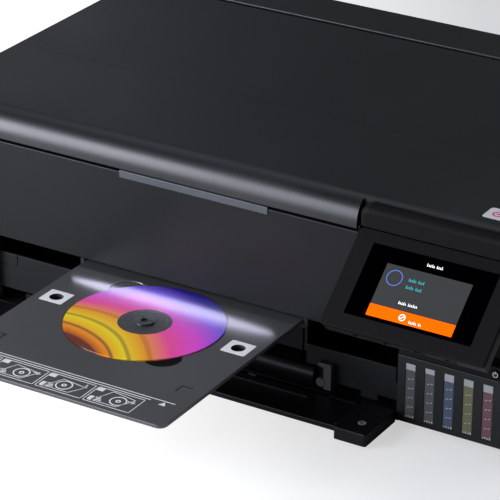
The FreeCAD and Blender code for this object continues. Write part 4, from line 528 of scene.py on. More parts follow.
class Finishes(Enum):
    """The printer's finishes."""

    LID = MouldedPlastic("abs_lid_grained", "#0c0e11", 0.36, drift="#0e1013", grain_mm=0.7)
    FASCIA = MouldedPlastic("abs_fascia_grained", "#111214", 0.36, drift="#0f1012", grain_mm=0.7,
                            mirror=0.2)
    SIDE = MouldedPlastic("abs_side_grained", "#111214", 0.46, drift="#141518", grain_mm=0.9,
                          mirror=0.35)
    BASE = MouldedPlastic("abs_base_plain", "#0a0b0c", 0.55, drift="#0d0e0f", grain_mm=1.0,
                          mirror=0.2)
    INNER = MouldedPlastic("abs_inner_satin", "#0c0d0e", 0.5, drift="#0f1011", grain_mm=0.8,
                           mirror=0.3)
    CASSETTE = MouldedPlastic("abs_cassette_satin", "#141516", 0.5, drift="#111213", grain_mm=0.8,
                              mirror=0.15)
    FLAP = MouldedPlastic("abs_flap_satin", "#0d0d10", 0.40, drift="#0f0f12", grain_mm=0.8,
                          mirror=0.26)
    GRIP = SmoothPlastic("abs_grip_polished", "#09090b", 0.30, mirror=0.12)
    LEVER = MouldedPlastic("pom_lever_grey", "#3c3d3e", 0.42, drift="#434445", grain_mm=0.6,
                           mirror=0.3)
    TRIM = MouldedPlastic("abs_trim_grey", "#3a3f43", 0.36, drift="#40454a", grain_mm=0.6)
    TRAY = MouldedPlastic("abs_tray_satin", "#434344", 0.2, drift="#464647", grain_mm=0.5,
                          grain_depth_mm=0.002, mirror=0.9)
    PANEL = MouldedPlastic("abs_panel_matt", "#121212", 0.62, drift="#141414", grain_mm=0.6,
                           grain_depth_mm=0.01, mirror=0.06)
    TANKS = MouldedPlastic("abs_tank_cover", "#0b0c0d", 0.42, drift="#0d0e0f", grain_mm=0.8,
                           mirror=0.3)
    RUBBER = SoftSheet("rubber_foot", "#101010", 0.8)
    BELT = SoftSheet("rubber_belt", "#161616", 0.7, cell_mm=1.2)
    FOAM = SoftSheet("foam_white", "#e9e9e6", 0.75)
    SHEET = RolledSteel("steel_zinc_sheet", "#a8abae", 0.34)
    SHAFT = RolledSteel("steel_ground_shaft", "#c3c6c9", 0.14, mark_mm=0.3)
    MOTOR = RolledSteel("steel_motor_can", "#8c8f92", 0.3, along="z")
    PORT = RolledSteel("steel_port_shell", "#b9bbbd", 0.25, along="y")
    BOARD = SmoothPlastic("board_lacquered", "#14402a", 0.3)
    NYLON = MouldedPlastic("nylon_gear", "#d8d8d2", 0.45, drift="#cfcfc8", grain_mm=0.6)
    GLASS = ClearSheet("glass_float", "#e8f2ef", 0.03)
    SCREEN = SmoothPlastic("glass_screen_black", "#000001", 0.08, scuff=0.04, mirror=0.02)
    LABEL = MouldedPlastic("vinyl_label_white", "#dededf", 0.45, drift="#d6d6d8", grain_mm=0.8,
                           grain_depth_mm=0.004)
    LABEL_PINK = MouldedPlastic("vinyl_label_pink", "#d83c86", 0.45, drift="#cf3880", grain_mm=0.8,
                                grain_depth_mm=0.004)
    CLAMP = MouldedPlastic("abs_clamp_satin", "#262627", 0.34, drift="#2b2b2c", grain_mm=0.5)
    TICK = MouldedPlastic("pp_tick_pale", "#a2a4a6", 0.4, drift="#989a9c")
    MARK = MouldedPlastic("ink_grey_printed", "#b4b6b8", 0.5, drift="#a9abad", grain_mm=0.5,
                          grain_depth_mm=0.004)


def dress(obj: bpy.types.Object, material: bpy.types.Material) -> None:
    """Gives an object one material all over."""
    obj.data.materials.clear()
    obj.data.materials.append(material)
    for face in obj.data.polygons:
        face.material_index = 0


@dataclass
class SubAssembly:
    """A group of pieces that is built and dressed together.

    Attributes:
    """

    frame: dict

    def body_of(self, node: str) -> str:
        """The body that a CAD node rides on."""
        bodies = self.frame["record"]["behaviour"]["bodies"]
        return next(body for body, members in bodies.items() if node in members)

    def paint(self, finish: Finishes, *nodes: str) -> None:
        """Gives CAD nodes a finish as they are."""
        for node in nodes:
            dress(self.frame["nodes"][node], finish.value.material())
            LOG.info("%s: %s", node, finish.value.name)

    def crisp(
        self, node: str, finish: Finishes, round_mm: float = 0.4, angle: float = 40.0,
        merge: bool = True
    ) -> bpy.types.Object:
        """Stands a copy with softly rounded edges in a CAD node's place.

        Args:
            node: The CAD node.
            finish: The copy's finish.
            round_mm: The radius of its edges.
            angle: Edges sharper than this many degrees are rounded.
            merge: Whether the triangles of each flat are merged first, as suits flats without slots.

        Returns:
            The copy.
        """
        source = self.frame["nodes"][node]
        copy = bpy.data.objects.new(f"{node}_finished", source.data.copy())
        bpy.context.scene.collection.objects.link(copy)
        make_active(copy)
        bpy.ops.mesh.customdata_custom_splitnormals_clear()
        bpy.ops.object.mode_set(mode="EDIT")
        bpy.ops.mesh.select_all(action="SELECT")
        bpy.ops.mesh.remove_doubles(threshold=0.002 * MM)
        if merge:
            bpy.ops.mesh.dissolve_limited(angle_limit=math.radians(0.5))
        bpy.ops.object.mode_set(mode="OBJECT")
        apply_modifier(
            copy, "BEVEL", width=round_mm * MM, segments=2, limit_method="ANGLE",
            angle_limit=math.radians(angle), use_clamp_overlap=True, miter_outer="MITER_ARC",
        )
        smooth(copy, 32.0)
        apply_modifier(copy, "WEIGHTED_NORMAL", keep_sharp=True, weight=60)
        dress(copy, finish.value.material())
        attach(copy, self.body_of(node))
        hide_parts(node)
        LOG.info("%s: %s, edges %.1f mm", node, finish.value.name, round_mm)
        return copy

    def place(self, piece: bpy.types.Object, body: str,
              material: bpy.types.Material) -> bpy.types.Object:
        """Dresses a new piece and lets it ride on a body."""
        dress(piece, material)
        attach(piece, body)
        LOG.info("%s rides on %s", piece.name, body)
        return piece


# ---------------------------------------------------------------------------------------------
# Camera and studio
# ---------------------------------------------------------------------------------------------
@dataclass
class CameraRig:
    """The camera, which looks down at the printer from its right front.

    Attributes:
        place: Where it stands.
        yaw: Its turn from +Y towards +X, in degrees.
        pitch: How far it looks down, in degrees.
        roll: Its small tilt, in degrees.
        lens: Its focal length in millimetres, on a film 36 mm wide.
    """

    place: tuple[float, float, float] = (0.97163, -1.76830, 0.97432)
    yaw: float = -30.7405
    pitch: float = 25.238
    roll: float = 0.4875
    lens: float = 200.03

    def build(self) -> None:
        """Adds the camera and makes it the scene's."""
        yaw, pitch, roll = (math.radians(v) for v in (self.yaw, self.pitch, self.roll))
        ahead = Vector(
            (math.sin(yaw) * math.cos(pitch), math.cos(yaw) * math.cos(pitch), -math.sin(pitch))
        )
        level = Vector((math.cos(yaw), -math.sin(yaw), 0))
        above = level.cross(ahead)
        right = math.cos(roll) * level + math.sin(roll) * above
        up = math.cos(roll) * above - math.sin(roll) * level
        data = bpy.data.cameras.new("camera")
        data.lens, data.sensor_width = self.lens, 36.0
        camera = bpy.data.objects.new("camera", data)
        bpy.context.scene.collection.objects.link(camera)
        camera.matrix_world = Matrix.Translation(self.place) @ Matrix(
            (right, up, -ahead)
        ).transposed().to_4x4()
        bpy.context.scene.camera = camera


@dataclass(frozen=True)
class Softbox:
    """A large soft lamp that faces the printer.

    Attributes:
        name: The lamp's name.
        place: Where its middle hangs.
        aim: The point that it faces.
        wide: Its width.
        high: Its height.
        power: Its power in watts.
        tint: The colour of its light.
        lights_matt: Whether it lights matt surfaces, beside showing in glossy ones.
        shape: Its outline, a rectangle or an ellipse, which fades towards its ends.
    """

    name: str
    place: tuple[float, float, float]
    aim: tuple[float, float, float]
    wide: float
    high: float
    power: float
    tint: str = "#ffffff"
    lights_matt: bool = True
    shape: str = "RECTANGLE"

    def build(self) -> None:
        """Hangs the lamp."""
        data = bpy.data.lights.new(self.name, "AREA")
        data.shape = self.shape
        data.size, data.size_y = self.wide, self.high
        data.energy = self.power
        data.color = linear(self.tint)[:3]
        lamp = bpy.data.objects.new(self.name, data)
        bpy.context.scene.collection.objects.link(lamp)
        lamp.location = self.place
        lamp.rotation_euler = (
            (Vector(self.aim) - Vector(self.place)).to_track_quat("-Z", "Y").to_euler()
        )
        lamp.visible_camera = False
        lamp.visible_diffuse = self.lights_matt


@dataclass
class Studio:
    """A white sheet to stand on, a pale world and soft lamps.

    Attributes:
        floor_half: Half the side of the floor sheet.
        floor_colour: The sheet's colour.
        floor_glow: How brightly the sheet shows white to the camera, beside the light on it; the glow
            fades towards the back right as painted shade.
        sky: The pale world around it.
        sky_light: How strongly the world lights the printer.
    """

    floor_half: float = 4.0
    floor_colour: str = "#f4f3f0"
    floor_glow: float = 1.25
    sky: str = "#eef2f8"
    sky_light: float = 0.11
    lamps: tuple[Softbox, ...] = (
        Softbox("key_left", (-1.60, -1.60, 0.66), (-0.2, -0.19, 0.14), 1.0, 1.38, 82.0, "#eef2ff"),
        Softbox("key_middle", (-0.72, -2.00, 0.66), (0.1, -0.19, 0.14), 0.8, 1.38, 13.0,
                "#eef2ff"),
        Softbox("fill_back_left", (-2.2, 1.9, 1.3), (-0.1, 0.1, 0.15), 1.4, 1.0, 1.4, "#e9f1ff"),
        Softbox("fill_top", (-1.1, 0.35, 2.0), (-0.1, -0.1, 0.15), 1.2, 0.9, 3.0, "#e9f1ff"),
        Softbox("overhead", (0.5, 0.9, 2.2), (0.0, -0.1, 0.0), 1.4, 1.2, 12.0),
        Softbox("slot_strip", (-0.034, -0.1925, 0.0755), (-0.034, -0.220, 0.061), 0.18, 0.008,
                0.021,
                "#e6e4ff", lights_matt=False, shape="ELLIPSE"),
    )

    def build(self) -> None:
        """Lays the floor, lights the world and hangs the lamps."""
        self._floor()
        self._world()
        for lamp in self.lamps:
            lamp.build()
        bpy.context.scene.view_settings.view_transform = "Standard"

    def _floor(self) -> None:
        """Lays the white sheet, with painted shade that greys it towards the back right."""
        deselect_all()
        bpy.ops.mesh.primitive_plane_add(size=2 * self.floor_half)
        floor = bpy.context.object
        floor.name = "studio_floor"
        material = bpy.data.materials.new("paper_floor")
        material.use_nodes = True
        tree = material.node_tree
        tree.nodes.clear()
        paper = add_node(tree, "BsdfDiffuse", {"Color": linear(self.floor_colour)})
        glow = add_node(tree, "Emission",
                        {"Color": linear("#ffffff"), "Strength": self.floor_glow})
        place = add_node(tree, "TexCoord")
        depth = add_node(tree, "SeparateXYZ", {"Vector": place.outputs["Object"]})
        # The camera's share of white glow falls from the front left to the back right: painted shade of
        # light falling off across the floor.
        painted_shade_slant = add_node(
            tree, "Math", {0: depth.outputs["X"], 1: 1.6, 2: depth.outputs["Y"]},
            operation="MULTIPLY_ADD"
        )
        share = add_node(
            tree, "MapRange",
            {"Value": painted_shade_slant.outputs[0], "From Min": -0.3, "From Max": 0.33, "To Min": 0.74,
             "To Max": 0.2},
        )
        rays = add_node(tree, "LightPath")
        seen = add_node(
            tree, "Math", {0: rays.outputs["Is Camera Ray"], 1: share.outputs["Result"]},
            operation="MULTIPLY",
        )
        mixed = add_node(
            tree, "MixShader",
            {0: seen.outputs[0], 1: paper.outputs["BSDF"], 2: glow.outputs["Emission"]},
        )
        add_node(tree, "OutputMaterial", {"Surface": mixed.outputs["Shader"]})
        floor.data.materials.append(material)

    def _world(self) -> None:
        """Sets the pale world, brighter to the camera than as a lamp."""
        world = bpy.data.worlds.new("pale_room")
        bpy.context.scene.world = world
        world.use_nodes = True
        tree = world.node_tree
        tree.nodes.clear()
        rays = add_node(tree, "LightPath")
        strength = add_node(
            tree, "MapRange",
            {"Value": rays.outputs["Is Camera Ray"], "To Min": self.sky_light, "To Max": 1.0},
        )
        sky = add_node(
            tree, "Background", {"Color": linear(self.sky), "Strength": strength.outputs["Result"]}
        )
        add_node(tree, "OutputWorld", {"Surface": sky.outputs["Background"]})


# ---------------------------------------------------------------------------------------------
# The printer
# ---------------------------------------------------------------------------------------------
@dataclass
class Covers(SubAssembly):
    """The outer covers: lid, fascia, sides, back and base.

    Attributes:
        label: The label's left, right, near and far edges on the lid.
        label_thick: How thick the label is.
        tag: The left, right, near and far edges of the small tag on the base's lip.
        lip: The near, far, lower and upper edges of that lip.
        hinges: Where the front cover's hinges stand along the lip.
        hinge_half: Half the gap that the lip leaves at each hinge.
    """

    label: tuple[float, float, float, float] = (207.0 * MM, 249.0 * MM, -167.0 * MM, -149.0 * MM)
    label_thick: float = 0.03 * MM
    tag: tuple[float, float, float, float] = (29.6 * MM, 36.4 * MM, -188.2 * MM, -184.6 * MM)
    lip: tuple[float, float, float, float] = (-189.8 * MM, -183.6 * MM, 3.0 * MM, 4.0 * MM)
    hinges: tuple[float, float, float] = (-170.0 * MM, -20.0 * MM, 112.0 * MM)
    hinge_half: float = 6.3 * MM

    def build(self) -> None:
        """Dresses the covers."""
        self.crisp("lid_shell", Finishes.LID, 0.5)
        self.crisp("feed_cover", Finishes.LID, 0.5)
        self.crisp("front_panel", Finishes.FASCIA, 0.35)
        self.crisp("grip_strip", Finishes.TRIM, 0.4)
        self.crisp("side_cover_left", Finishes.SIDE, 0.5)
        self.crisp("side_cover_right", Finishes.SIDE, 0.5)
        self.crisp("rear_cover", Finishes.SIDE, 0.4, merge=False)
        self.crisp("panel_mount", Finishes.PANEL, 0.35)
        self.crisp("panel_cap", Finishes.PANEL, 0.3)
        self.paint(Finishes.BASE, "base_pan")
        self.paint(Finishes.RUBBER, "feet")
        self.paint(Finishes.SHEET, "rear_cover_screws")
        self.paint(Finishes.PANEL, "power_button")
        self.paint(Finishes.PORT, "rear_ports")
        self.paint(Finishes.BASE, "ac_inlet")
        self._label()
        self._standby()
        self._lip()

    def _lip(self) -> None:
        """Sets the base's thin lip under the front cover, open at its hinges, with a small tag on it."""
        low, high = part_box("front_cover")
        near, far, under, top = self.lip
        starts = [low[0], *(hinge + self.hinge_half for hinge in self.hinges)]
        ends = [*(hinge - self.hinge_half for hinge in self.hinges), high[0]]
        body = self.body_of("base_pan")
        strips = [
            Face((0.0, 0.0, under)).plate("lip", a, b, near, far, top - under) for a,
            b in zip(starts, ends)
        ]
        self.place(joined(strips, "base_lip"), body, Finishes.BASE.value.material())
        tag = Face((0.0, 0.0, top)).plate("base_tag", *self.tag, self.label_thick, corner=0.3 * MM)
        self.place(tag, body, Finishes.LABEL.value.material())

    def _standby(self) -> None:
        """Prints the plain standby ring with its short bar on the power button."""
        low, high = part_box("power_button")
        button = Face(((low[0] + high[0]) / 2, low[1], (low[2] + high[2]) / 2), (1, 0, 0),
                      (0, 0, 1))
        ink = 0.02 * MM
        marks = [
            button.ring("standby_ring", 0.0, 0.0, 2.1 * MM, 1.6 * MM, ink, 32),
            button.bar("standby_bar", (0.0, 0.5 * MM), (0.0, 2.5 * MM), 0.5 * MM, ink),
        ]
        self.place(joined(marks, "standby_mark"), self.body_of("power_button"),
                   Finishes.MARK.value.material())

    def _label(self) -> None:
        """Sticks the white label with its pink marks on the lid, at the edge over the tanks."""
        body = self.body_of("lid_shell")
        lid_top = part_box("lid_shell")[1][2]
        top = Face((0.0, 0.0, lid_top))
        left, right, near, far = self.label
        self.place(
            top.plate("lid_label", left, right, near, far, self.label_thick, corner=2.5 * MM,
                      sink=self.label_thick),
            body, Finishes.LABEL.value.material(),
        )
        face = Face((0.0, 0.0, lid_top + self.label_thick))
        middle = (near + far) / 2
        marks = [
            face.ring("label_ring", left + 9 * MM, middle, 4.4 * MM, 3.0 * MM, self.label_thick),
            face.plate("label_dot", left + 7.6 * MM, left + 10.4 * MM, middle - 1.0 * MM,
                       middle + 1.0 * MM,
                       self.label_thick, corner=0.6 * MM),
        ]
        for i in range(3):
            y = middle + (3.6 - 3.4 * i) * MM
            marks.append(
                face.plate("label_line", left + 16 * MM, right - (4 + 3 * i) * MM, y - 0.7 * MM,
                           y + 0.7 * MM,
                           self.label_thick)
            )
        self.place(joined(marks, "lid_label_marks"), body, Finishes.LABEL_PINK.value.material())


@dataclass
class ControlPanel(SubAssembly):
    """The tilting panel with its lit display.

    Attributes:
        top: The top of the panel's face, as y and z.
        tilt: How far the face leans back from upright, in degrees.
        glass_sink: How far the display's glass lies below the face.
        strokes: The heights of the strokes that stand for words, as shares of a line's height.
    """

    top: tuple[float, float] = (-189.5 * MM, 150.0 * MM)
    tilt: float = 49.0
    glass_sink: float = 0.25 * MM
    strokes: tuple[float, ...] = (1.0, 0.7, 0.75, 1.0, 0.7, 0.0, 0.95, 0.7, 0.7)

    def face(self, lift: float = 0.0) -> Face:
        """The panel's face, with its origin at the top edge and up along the slope."""
        lean = math.radians(self.tilt)
        up = (0.0, math.sin(lean), math.cos(lean))
        out = (0.0, -math.cos(lean), math.sin(lean))
        origin = (0.0, self.top[0] + out[1] * lift, self.top[1] + out[2] * lift)
        return Face(origin, (1.0, 0.0, 0.0), up)

    def build(self) -> None:
        """Dresses the panel and lays out its display."""
        self.crisp("panel_bezel", Finishes.PANEL, 0.3)
        self.crisp("panel_back", Finishes.INNER, 0.3)
        self.paint(Finishes.SCREEN, "panel_display")
        self._popup()

    def _popup(self) -> None:
        """Lays the lit window, its bar, its ring and its rows of dashes on the display."""
        body = self.body_of("panel_display")
        face = self.face(-self.glass_sink)
        window = SmoothPlastic("display_grey", "#343434", 0.10, glow=0.5, mirror=0.1).material()
        orange = SmoothPlastic("display_orange", "#ff5a00", 0.10, glow=0.72, mirror=0.1).material()
        white = SmoothPlastic("display_white", "#e8e8e8", 0.10, glow=0.8, mirror=0.1).material()
        blue = SmoothPlastic("display_blue", "#4f68a8", 0.10, glow=0.7, mirror=0.1).material()
        cyan = SmoothPlastic("display_cyan", "#2f9aa4", 0.10, glow=0.75, mirror=0.1).material()
        thick = 0.03 * MM
        left, right, top, low = 155 * MM, 222 * MM, -21.9 * MM, -63.2 * MM
        bar_top = low + 9.2 * MM
        self.place(face.plate("display_window", left, right, bar_top, top, thick), body, window)
        self.place(face.plate("display_bar", left, right, low, bar_top, thick), body, orange)
        above = self.face(-self.glass_sink + thick)
        self.place(above.ring("display_ring", 164.5 * MM, -31.5 * MM, 6.2 * MM, 5.5 * MM, thick),
                   body, blue)
        self._line(above, "display_heading", (184.0, -14.8), 12.5, 2.2, body, white)
        self._line(above, "display_line_1", (175.5, -29.0), 13.0, 2.4, body, cyan)
        self._line(above, "display_line_2", (175.5, -34.6), 13.5, 2.4, body, cyan)
        self._line(above, "display_line_3", (175.0, -47.2), 15.0, 2.2, body, white)
        self._line(above, "display_bar_text", (188.0, -59.4), 11.0, 2.2, body, white)
        icon = [
            above.ring("icon_ring", 182.0 * MM, -58.6 * MM, 2.6 * MM, 1.9 * MM, thick, 24),
            above.bar("icon_slash", (180.6 * MM, -60.0 * MM), (183.4 * MM, -57.2 * MM), 0.7 * MM,
                      thick),
        ]
        self.place(joined(icon, "display_icon"), body, white)

    def _line(
        self, face: Face, name: str, start: tuple[float, float], wide: float, high: float,
        body: str,
        material: bpy.types.Material,
    ) -> None:
        """Lays a row of short upright strokes, which stands for a line of words.

        Args:
            face: The face that the row lies on.
            name: The row's name.
            start: Its upper left corner on the face, in millimetres.
            wide: Its length in millimetres.
            high: Its height in millimetres.
            body: The body that it rides on.
            material: Its material.
        """
        x, y = start
        pitch, stroke = 1.25, 0.5
        row = []
        for i in range(int(wide / pitch)):
            left = x + pitch * i
            tall = high * self.strokes[i % len(self.strokes)]
            if tall > 0:
                row.append(
                    face.plate(f"{name}_{i}", left * MM, (left + stroke) * MM, (y - high) * MM,
                               (y - high + tall) * MM, 0.03 * MM)
                )
                row.append(
                    face.plate(f"{name}_{i}_foot", left * MM, (left + 0.95) * MM, (y - high) * MM,
                               (y - high + 0.4) * MM, 0.03 * MM)
                )
        self.place(joined(row, name), body, material)


class Heading(Enum):
    """Which way a pictogram's arrow points."""

    RIGHT = 0.0
    UP = 90.0
    DOWN = -90.0


@dataclass
class DiscTray(SubAssembly):
    """The tray, its printed marks and the disc.

    Attributes:
        disc: The middle of the disc, as x and y.
        top: The height of the tray's upper face.
        ink: How thick the printed marks are.
        notch: The finger notch's x, y and radius, counted from the middle of the disc.
    """

    disc: tuple[float, float] = (-20.0 * MM, -250.0 * MM)
    top: float = 61.0 * MM
    ink: float = 0.05 * MM
    notch: tuple[float, float, float] = (41.0 * MM, -40.0 * MM, 13.8 * MM)

    def build(self) -> None:
        """Dresses the tray and the disc and lays the printed marks and the painted shade in the notch,
        holes and hub slots.
        """
        self.crisp("disc_tray", Finishes.TRAY, 0.25)
        self.paint(Finishes.CLAMP, "disc_clamp")
        dress(self.frame["nodes"]["optical_disc"],
              DiscPrint("disc_print", "#f08020", 0.22).material())
        white = MouldedPlastic("ink_white_printed", "#f2f2f0", 0.5, drift="#ececea", grain_mm=0.5,
                               grain_depth_mm=0.004).material()
        # One black for the printed corner marks and for painted shade in the finger notch, the sensor
        # holes and the hub's slots.
        dark = MouldedPlastic("ink_black_printed_and_painted_shade", "#030303", 0.6, drift="#060606", grain_mm=0.5,
                              grain_depth_mm=0.004, mirror=0.1).material()
        body = self.body_of("disc_tray")
        face = Face((self.disc[0], self.disc[1], self.top))
        for side in (-1, 1):
            self._square(face, side, body, white, dark)
            x, y, reach = side * 75.5 * MM, -68.9 * MM, 8.3 * MM
            mark = [
                face.bar("mark_a", (x, y), (x, y - reach), 0.9 * MM, self.ink),
                face.bar("mark_b", (x, y), (x + side * reach, y), 0.9 * MM, self.ink),
            ]
            self.place(joined(mark, f"corner_mark_{'left' if side < 0 else 'right'}"), body, dark)
        self._strip(face, body, white)
        self._shade(dark)
        self._clamp(dark)

    def _shade(self, dark: bpy.types.Material) -> None:
        """Lays a dark disc on the floor of the finger notch at the disc's front right: painted shade in
        the recess.
        """
        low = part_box("optical_disc")[0][2]
        floor = Face((self.disc[0], self.disc[1], low))
        x, y, radius = self.notch
        notch_shade = floor.ring("finger_notch_painted_shade", x, y, radius, 0.0, self.ink)
        self.place(notch_shade, self.body_of("disc_tray"), dark)

    def _clamp(self, dark: bpy.types.Material) -> None:
        """Lays dark bars on the hub's top as painted shade of three slots, and rings the bare middle of
        the disc.
        """
        body = self.body_of("disc_clamp")
        top = Face((self.disc[0], self.disc[1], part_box("disc_clamp")[1][2]))
        slots = []
        for i in range(3):
            turn = math.radians(120 * i + 20)
            near, far = 4.2 * MM, 6.4 * MM
            slots.append(
                top.bar("clamp_slot", (near * math.cos(turn), near * math.sin(turn)),
                        (far * math.cos(turn), far * math.sin(turn)), 0.8 * MM, self.ink)
            )
        self.place(joined(slots, "clamp_slot_painted_shade"), body, dark)
        disc_top = Face((self.disc[0], self.disc[1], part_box("optical_disc")[1][2]))
        ring = disc_top.ring("disc_stacking_ring", 0.0, 0.0, 17.2 * MM, 16.6 * MM, self.ink)
        self.place(ring, self.body_of("optical_disc"), Finishes.LEVER.value.material())

    def _square(
        self, face: Face, side: int, body: str, white: bpy.types.Material, dark: bpy.types.Material
    ) -> None:
        """Lays a white square around a sensor hole beside the disc, with a dark disc at the bottom of
        the hole as painted shade.
        """
        x, y = side * 79.0, 1.0
        plate = face.plate(
            "square", (x - 10) * MM, (x + 10) * MM, (y - 9.5) * MM, (y + 9.5) * MM, self.ink,
            corner=1.4 * MM
        )
        deselect_all()
        bpy.ops.mesh.primitive_cylinder_add(
            vertices=48, radius=5.4 * MM, depth=4 * MM,
            location=(self.disc[0] + x * MM, self.disc[1] + y * MM, self.top),
        )
        tool = bpy.context.object
        apply_modifier(plate, "BOOLEAN", operation="DIFFERENCE", object=tool, solver="EXACT")
        bpy.data.objects.remove(tool)
        tag = "left" if side < 0 else "right"
        plate.name = plate.data.name = f"white_square_{tag}"
        self.place(plate, body, white)
        # A dark disc under the hole: painted shade inside the sensor hole.
        under = Face((self.disc[0], self.disc[1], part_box("disc_tray")[0][2]))
        film = under.ring(f"hole_painted_shade_{tag}", x * MM, y * MM, 5.3 * MM, 0.0, 4 * self.ink)
        self.place(film, body, dark)

    def _strip(self, face: Face, body: str, white: bpy.types.Material) -> None:
        """Lays the double line, the four boxed pictograms and the small arrow along the front."""
        lines = [
            face.plate("line_a", -95.0 * MM, 86.0 * MM, -94.9 * MM, -94.1 * MM, self.ink),
            face.plate("line_b", -95.0 * MM, 68.0 * MM, -97.9 * MM, -97.1 * MM, self.ink),
        ]
        self.place(joined(lines, "guide_lines"), body, white)
        wide, high, low = 38.0, 21.6, -121.6
        for i, left in enumerate((-93.6, -53.4, -13.2, 27.0)):
            pieces = self._box(face, left, low, wide, high)
            pieces += self._pictogram(face, i, (left + wide / 2, low + high / 2))
            self.place(joined(pieces, f"pictogram_{i + 1}"), body, white)
        arrow = face.ring("guide_arrow", 78.6 * MM, -99.0 * MM, 3.2 * MM, 0.0, self.ink, 3)
        self.place(arrow, body, white)

    def _box(self, face: Face, left: float, low: float, wide: float,
             high: float) -> list[bpy.types.Object]:
        """The four thin lines of a pictogram's box, and its number tab."""
        right, top = left + wide, low + high
        ends = [
            ((left, low), (right, low)), ((right, low), (right, top)),
            ((right, top), (left, top)), ((left, top), (left, low)),
        ]
        sides = [self._stroke(face, a, b, 0.65) for a, b in ends]
        tab = face.plate("tab", left * MM, (left + 6) * MM, (top - 5) * MM, top * MM, self.ink)
        return [*sides, tab]

    def _stroke(
        self, face: Face, start: tuple[float, float], end: tuple[float, float], wide: float
    ) -> bpy.types.Object:
        """One printed line between two points, with every size in millimetres."""
        a, b = ((p[0] * MM, p[1] * MM) for p in (start, end))
        return face.bar("stroke", a, b, wide * MM, self.ink)

    def _pictogram(self, face: Face, number: int,
                   middle: tuple[float, float]) -> list[bpy.types.Object]:
        """A simple picture of a disc, a tray, a hand and an arrow, in a mix that differs by box."""
        x, y = middle
        shift = (-2.0, 3.0, -1.0, 4.0)[number]
        tilt = (0.0, 3.0, 2.0, 4.5)[number]
        disc_x, disc_y = (x + shift) * MM, (y - 0.5) * MM
        pieces = [
            face.ring("p_disc", disc_x, disc_y, 6.4 * MM, 5.4 * MM, self.ink, 32),
            face.ring("p_hub", disc_x, disc_y, 2.0 * MM, 0.9 * MM, self.ink, 20),
        ]
        outline = [(x - 13, y - 8.2), (x + 7, y - 8.2), (x + 14, y + 2 + tilt),
                   (x - 6, y + 5 + tilt)]
        for i, point in enumerate(outline):
            pieces.append(self._stroke(face, point, outline[(i + 1) % 4], 0.6))
        for i in range(3):
            finger_y = y - 7.4 + 1.9 * i
            pieces.append(self._stroke(face, (x - 13.4, finger_y),
                                       (x - 7.4 - 1.2 * i, finger_y + 1.4), 1.3))
        pieces.append(
            face.plate("p_palm", (x - 17.2) * MM, (x - 12) * MM, (y - 9) * MM, (y - 2.6) * MM,
                       self.ink,
                       corner=1.8 * MM)
        )
        turn = math.radians((Heading.UP, Heading.RIGHT, Heading.DOWN, Heading.RIGHT)[number].value)
        ahead = Vector((math.cos(turn), math.sin(turn)))
        middle_point = Vector((x + 13.2, y + 7.2 - tilt))
        tip, tail = middle_point + 2.4 * ahead, middle_point - 2.8 * ahead
        pieces.append(self._stroke(face, tail, tip, 0.9))
        for side in (-0.75, 0.75):
            barb = Vector((math.cos(turn + side), math.sin(turn + side)))
            pieces.append(self._stroke(face, tip, tip - 2.3 * barb, 0.8))
        return pieces


